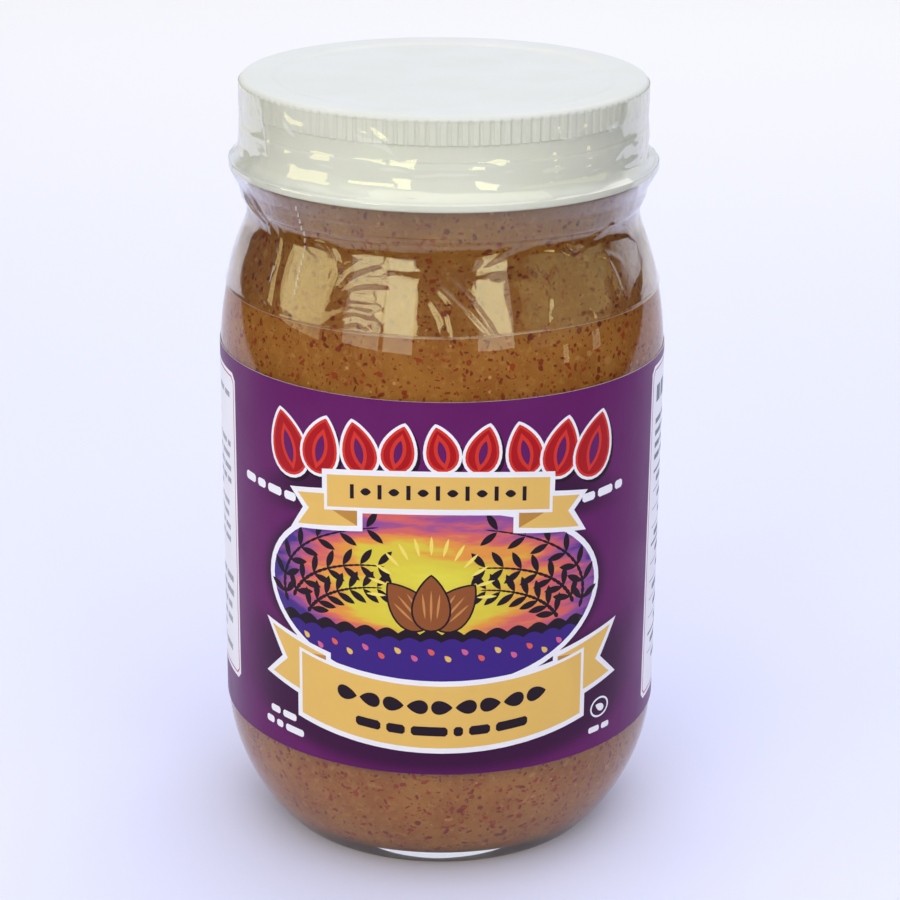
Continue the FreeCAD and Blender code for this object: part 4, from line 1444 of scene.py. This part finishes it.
def make_stage():
    """A wide pale floor with painted shade: darker and bluer near the jar, brighter far off. Mirrors see it
    dark past a patch round the jar: a painted dark reflection.
    """
    corners = [(-FLOOR_HALF, -FLOOR_HALF, 0), (FLOOR_HALF, -FLOOR_HALF, 0),
               (FLOOR_HALF, FLOOR_HALF, 0), (-FLOOR_HALF, FLOOR_HALF, 0)]
    mesh = bpy.data.meshes.new("floor")
    mesh.from_pydata(corners, [], [(0, 1, 2, 3)])
    floor = new_object("floor", mesh)
    material, tree, shader, place = new_material("pale_paper")
    parts = add_node(tree, "ShaderNodeSeparateXYZ", {0: place}).outputs
    # Painted shade: darker and bluer near the jar, brighter far off.
    paper = blend_colours(tree, scaled_range(tree, parts["Y"], *FLOOR_SHADE_FADE), FLOOR_NEAR_SHADED, FLOOR_FAR_LIT)
    rays = add_node(tree, "ShaderNodeLightPath").outputs
    aside = maths(tree, "ABSOLUTE", parts["X"])
    spread = product(tree, maths(tree, "MAXIMUM", parts["Y"], 0.0), MIRROR_PATCH_SPREAD)
    past_side = maths(tree, "SUBTRACT", aside, spread)
    past_edge = maths(tree, "MAXIMUM", past_side, product(tree, parts["Y"], -1.0))
    # Painted dark reflection: glossy rays see the floor dark beyond the pale patch round the jar.
    mirrored_dark = product(tree, rays["Is Glossy Ray"], scaled_range(tree, past_edge, *MIRROR_PATCH_EDGE))
    paper = blend_colours(tree, mirrored_dark, paper, FLOOR_MIRRORED_DARK)
    put_in(tree, shader, {"Base Color": paper, "Roughness": 0.9, "Specular IOR Level": 0.1,
                          "Normal": bump(tree, clouds(tree, place, 300.0, 5.0), 0.05)})
    distance = add_node(tree, "ShaderNodeVectorMath", {0: place}, operation="LENGTH").outputs["Value"]
    far = product(tree, rays["Is Camera Ray"], scaled_range(tree, distance, *HORIZON))
    swap_shader(tree, far, shader,
                add_node(tree, "ShaderNodeEmission", {"Color": FLOOR_HORIZON, "Strength": 1.0}))
    mesh.materials.append(material)


def add_lamp(name, direction, lift, distance, width, height, brightness, tint):
    """A soft rectangular lamp that faces the jar. Brightness is its radiance beside white paper's 1."""
    lamp = bpy.data.lights.new(name, "AREA")
    lamp.shape = "RECTANGLE"
    lamp.size = width
    lamp.size_y = height
    lamp.energy = brightness * math.pi * width * height
    lamp.color = tint[:3]
    holder = bpy.data.objects.new(name, lamp)
    bpy.context.scene.collection.objects.link(holder)
    flat = distance * math.cos(math.radians(lift))
    turn = math.radians(direction)
    aim = Vector(LAMP_AIM)
    spot = Vector((flat * math.sin(turn), -flat * math.cos(turn), distance * math.sin(math.radians(lift))))
    spot += aim
    holder.location = spot
    holder.rotation_euler = (aim - spot).to_track_quat("-Z", "Y").to_euler()
    holder.visible_camera = False


def make_light():
    """A pale sky overhead and behind, dim elsewhere but pale to look at, and the lamps."""
    world = bpy.data.worlds.new("sky")
    world.use_nodes = True
    tree = world.node_tree
    direction = add_node(tree, "ShaderNodeTexCoord").outputs["Generated"]
    parts = add_node(tree, "ShaderNodeSeparateXYZ", {0: direction}).outputs
    overhead = scaled_range(tree, parts["Z"], *SKY_OVERHEAD)
    backwards = maths(tree, "ADD", parts["Y"], product(tree, parts["X"], SKY_LEAN))
    open_sky = maths(tree, "MAXIMUM", overhead, scaled_range(tree, backwards, *SKY_BEHIND))
    lighting = scaled_range(tree, open_sky, 0, 1, SKY_DIM, SKY_BRIGHT)
    rays = add_node(tree, "ShaderNodeLightPath").outputs
    unmirrored = maths(tree, "LESS_THAN", rays["Glossy Depth"], 0.5)
    straight_on = product(tree, rays["Is Transmission Ray"], unmirrored)
    shown = maths(tree, "MAXIMUM", rays["Is Camera Ray"], straight_on)
    put_in(tree, tree.nodes["Background"], {
        "Color": SKY_TINT, "Strength": maths(tree, "MAXIMUM", lighting, shown)})
    bpy.context.scene.world = world
    for lamp in LAMPS:
        add_lamp(*lamp)


def make_camera():
    """The camera: above and in front, with a long lens."""
    lens = bpy.data.cameras.new("camera")
    lens.lens = LENS
    lens.sensor_width = SENSOR
    lens.clip_start = 0.01
    holder = bpy.data.objects.new("camera", lens)
    bpy.context.scene.collection.objects.link(holder)
    pan, lift, roll = (math.radians(angle) for angle in (CAMERA_PAN, 90 - CAMERA_DIP, CAMERA_ROLL))
    holder.matrix_world = (Matrix.Translation(CAMERA_PLACE) @ Matrix.Rotation(pan, 4, "Z")
                           @ Matrix.Rotation(lift, 4, "X") @ Matrix.Rotation(roll, 4, "Z"))
    bpy.context.scene.camera = holder


HANDLING = make_handling_group()
SPECKS = make_speck_group()
SOFT_PATCH = make_patch_group()
CUT_FILM_HIGHLIGHT = cut_film_highlight_finish()

make_camera()
make_stage()
make_light()
make_glass()
make_butter()
make_lid()
make_label()
make_film()
make_tear_line()

bpy.context.scene.view_settings.view_transform = "Standard"
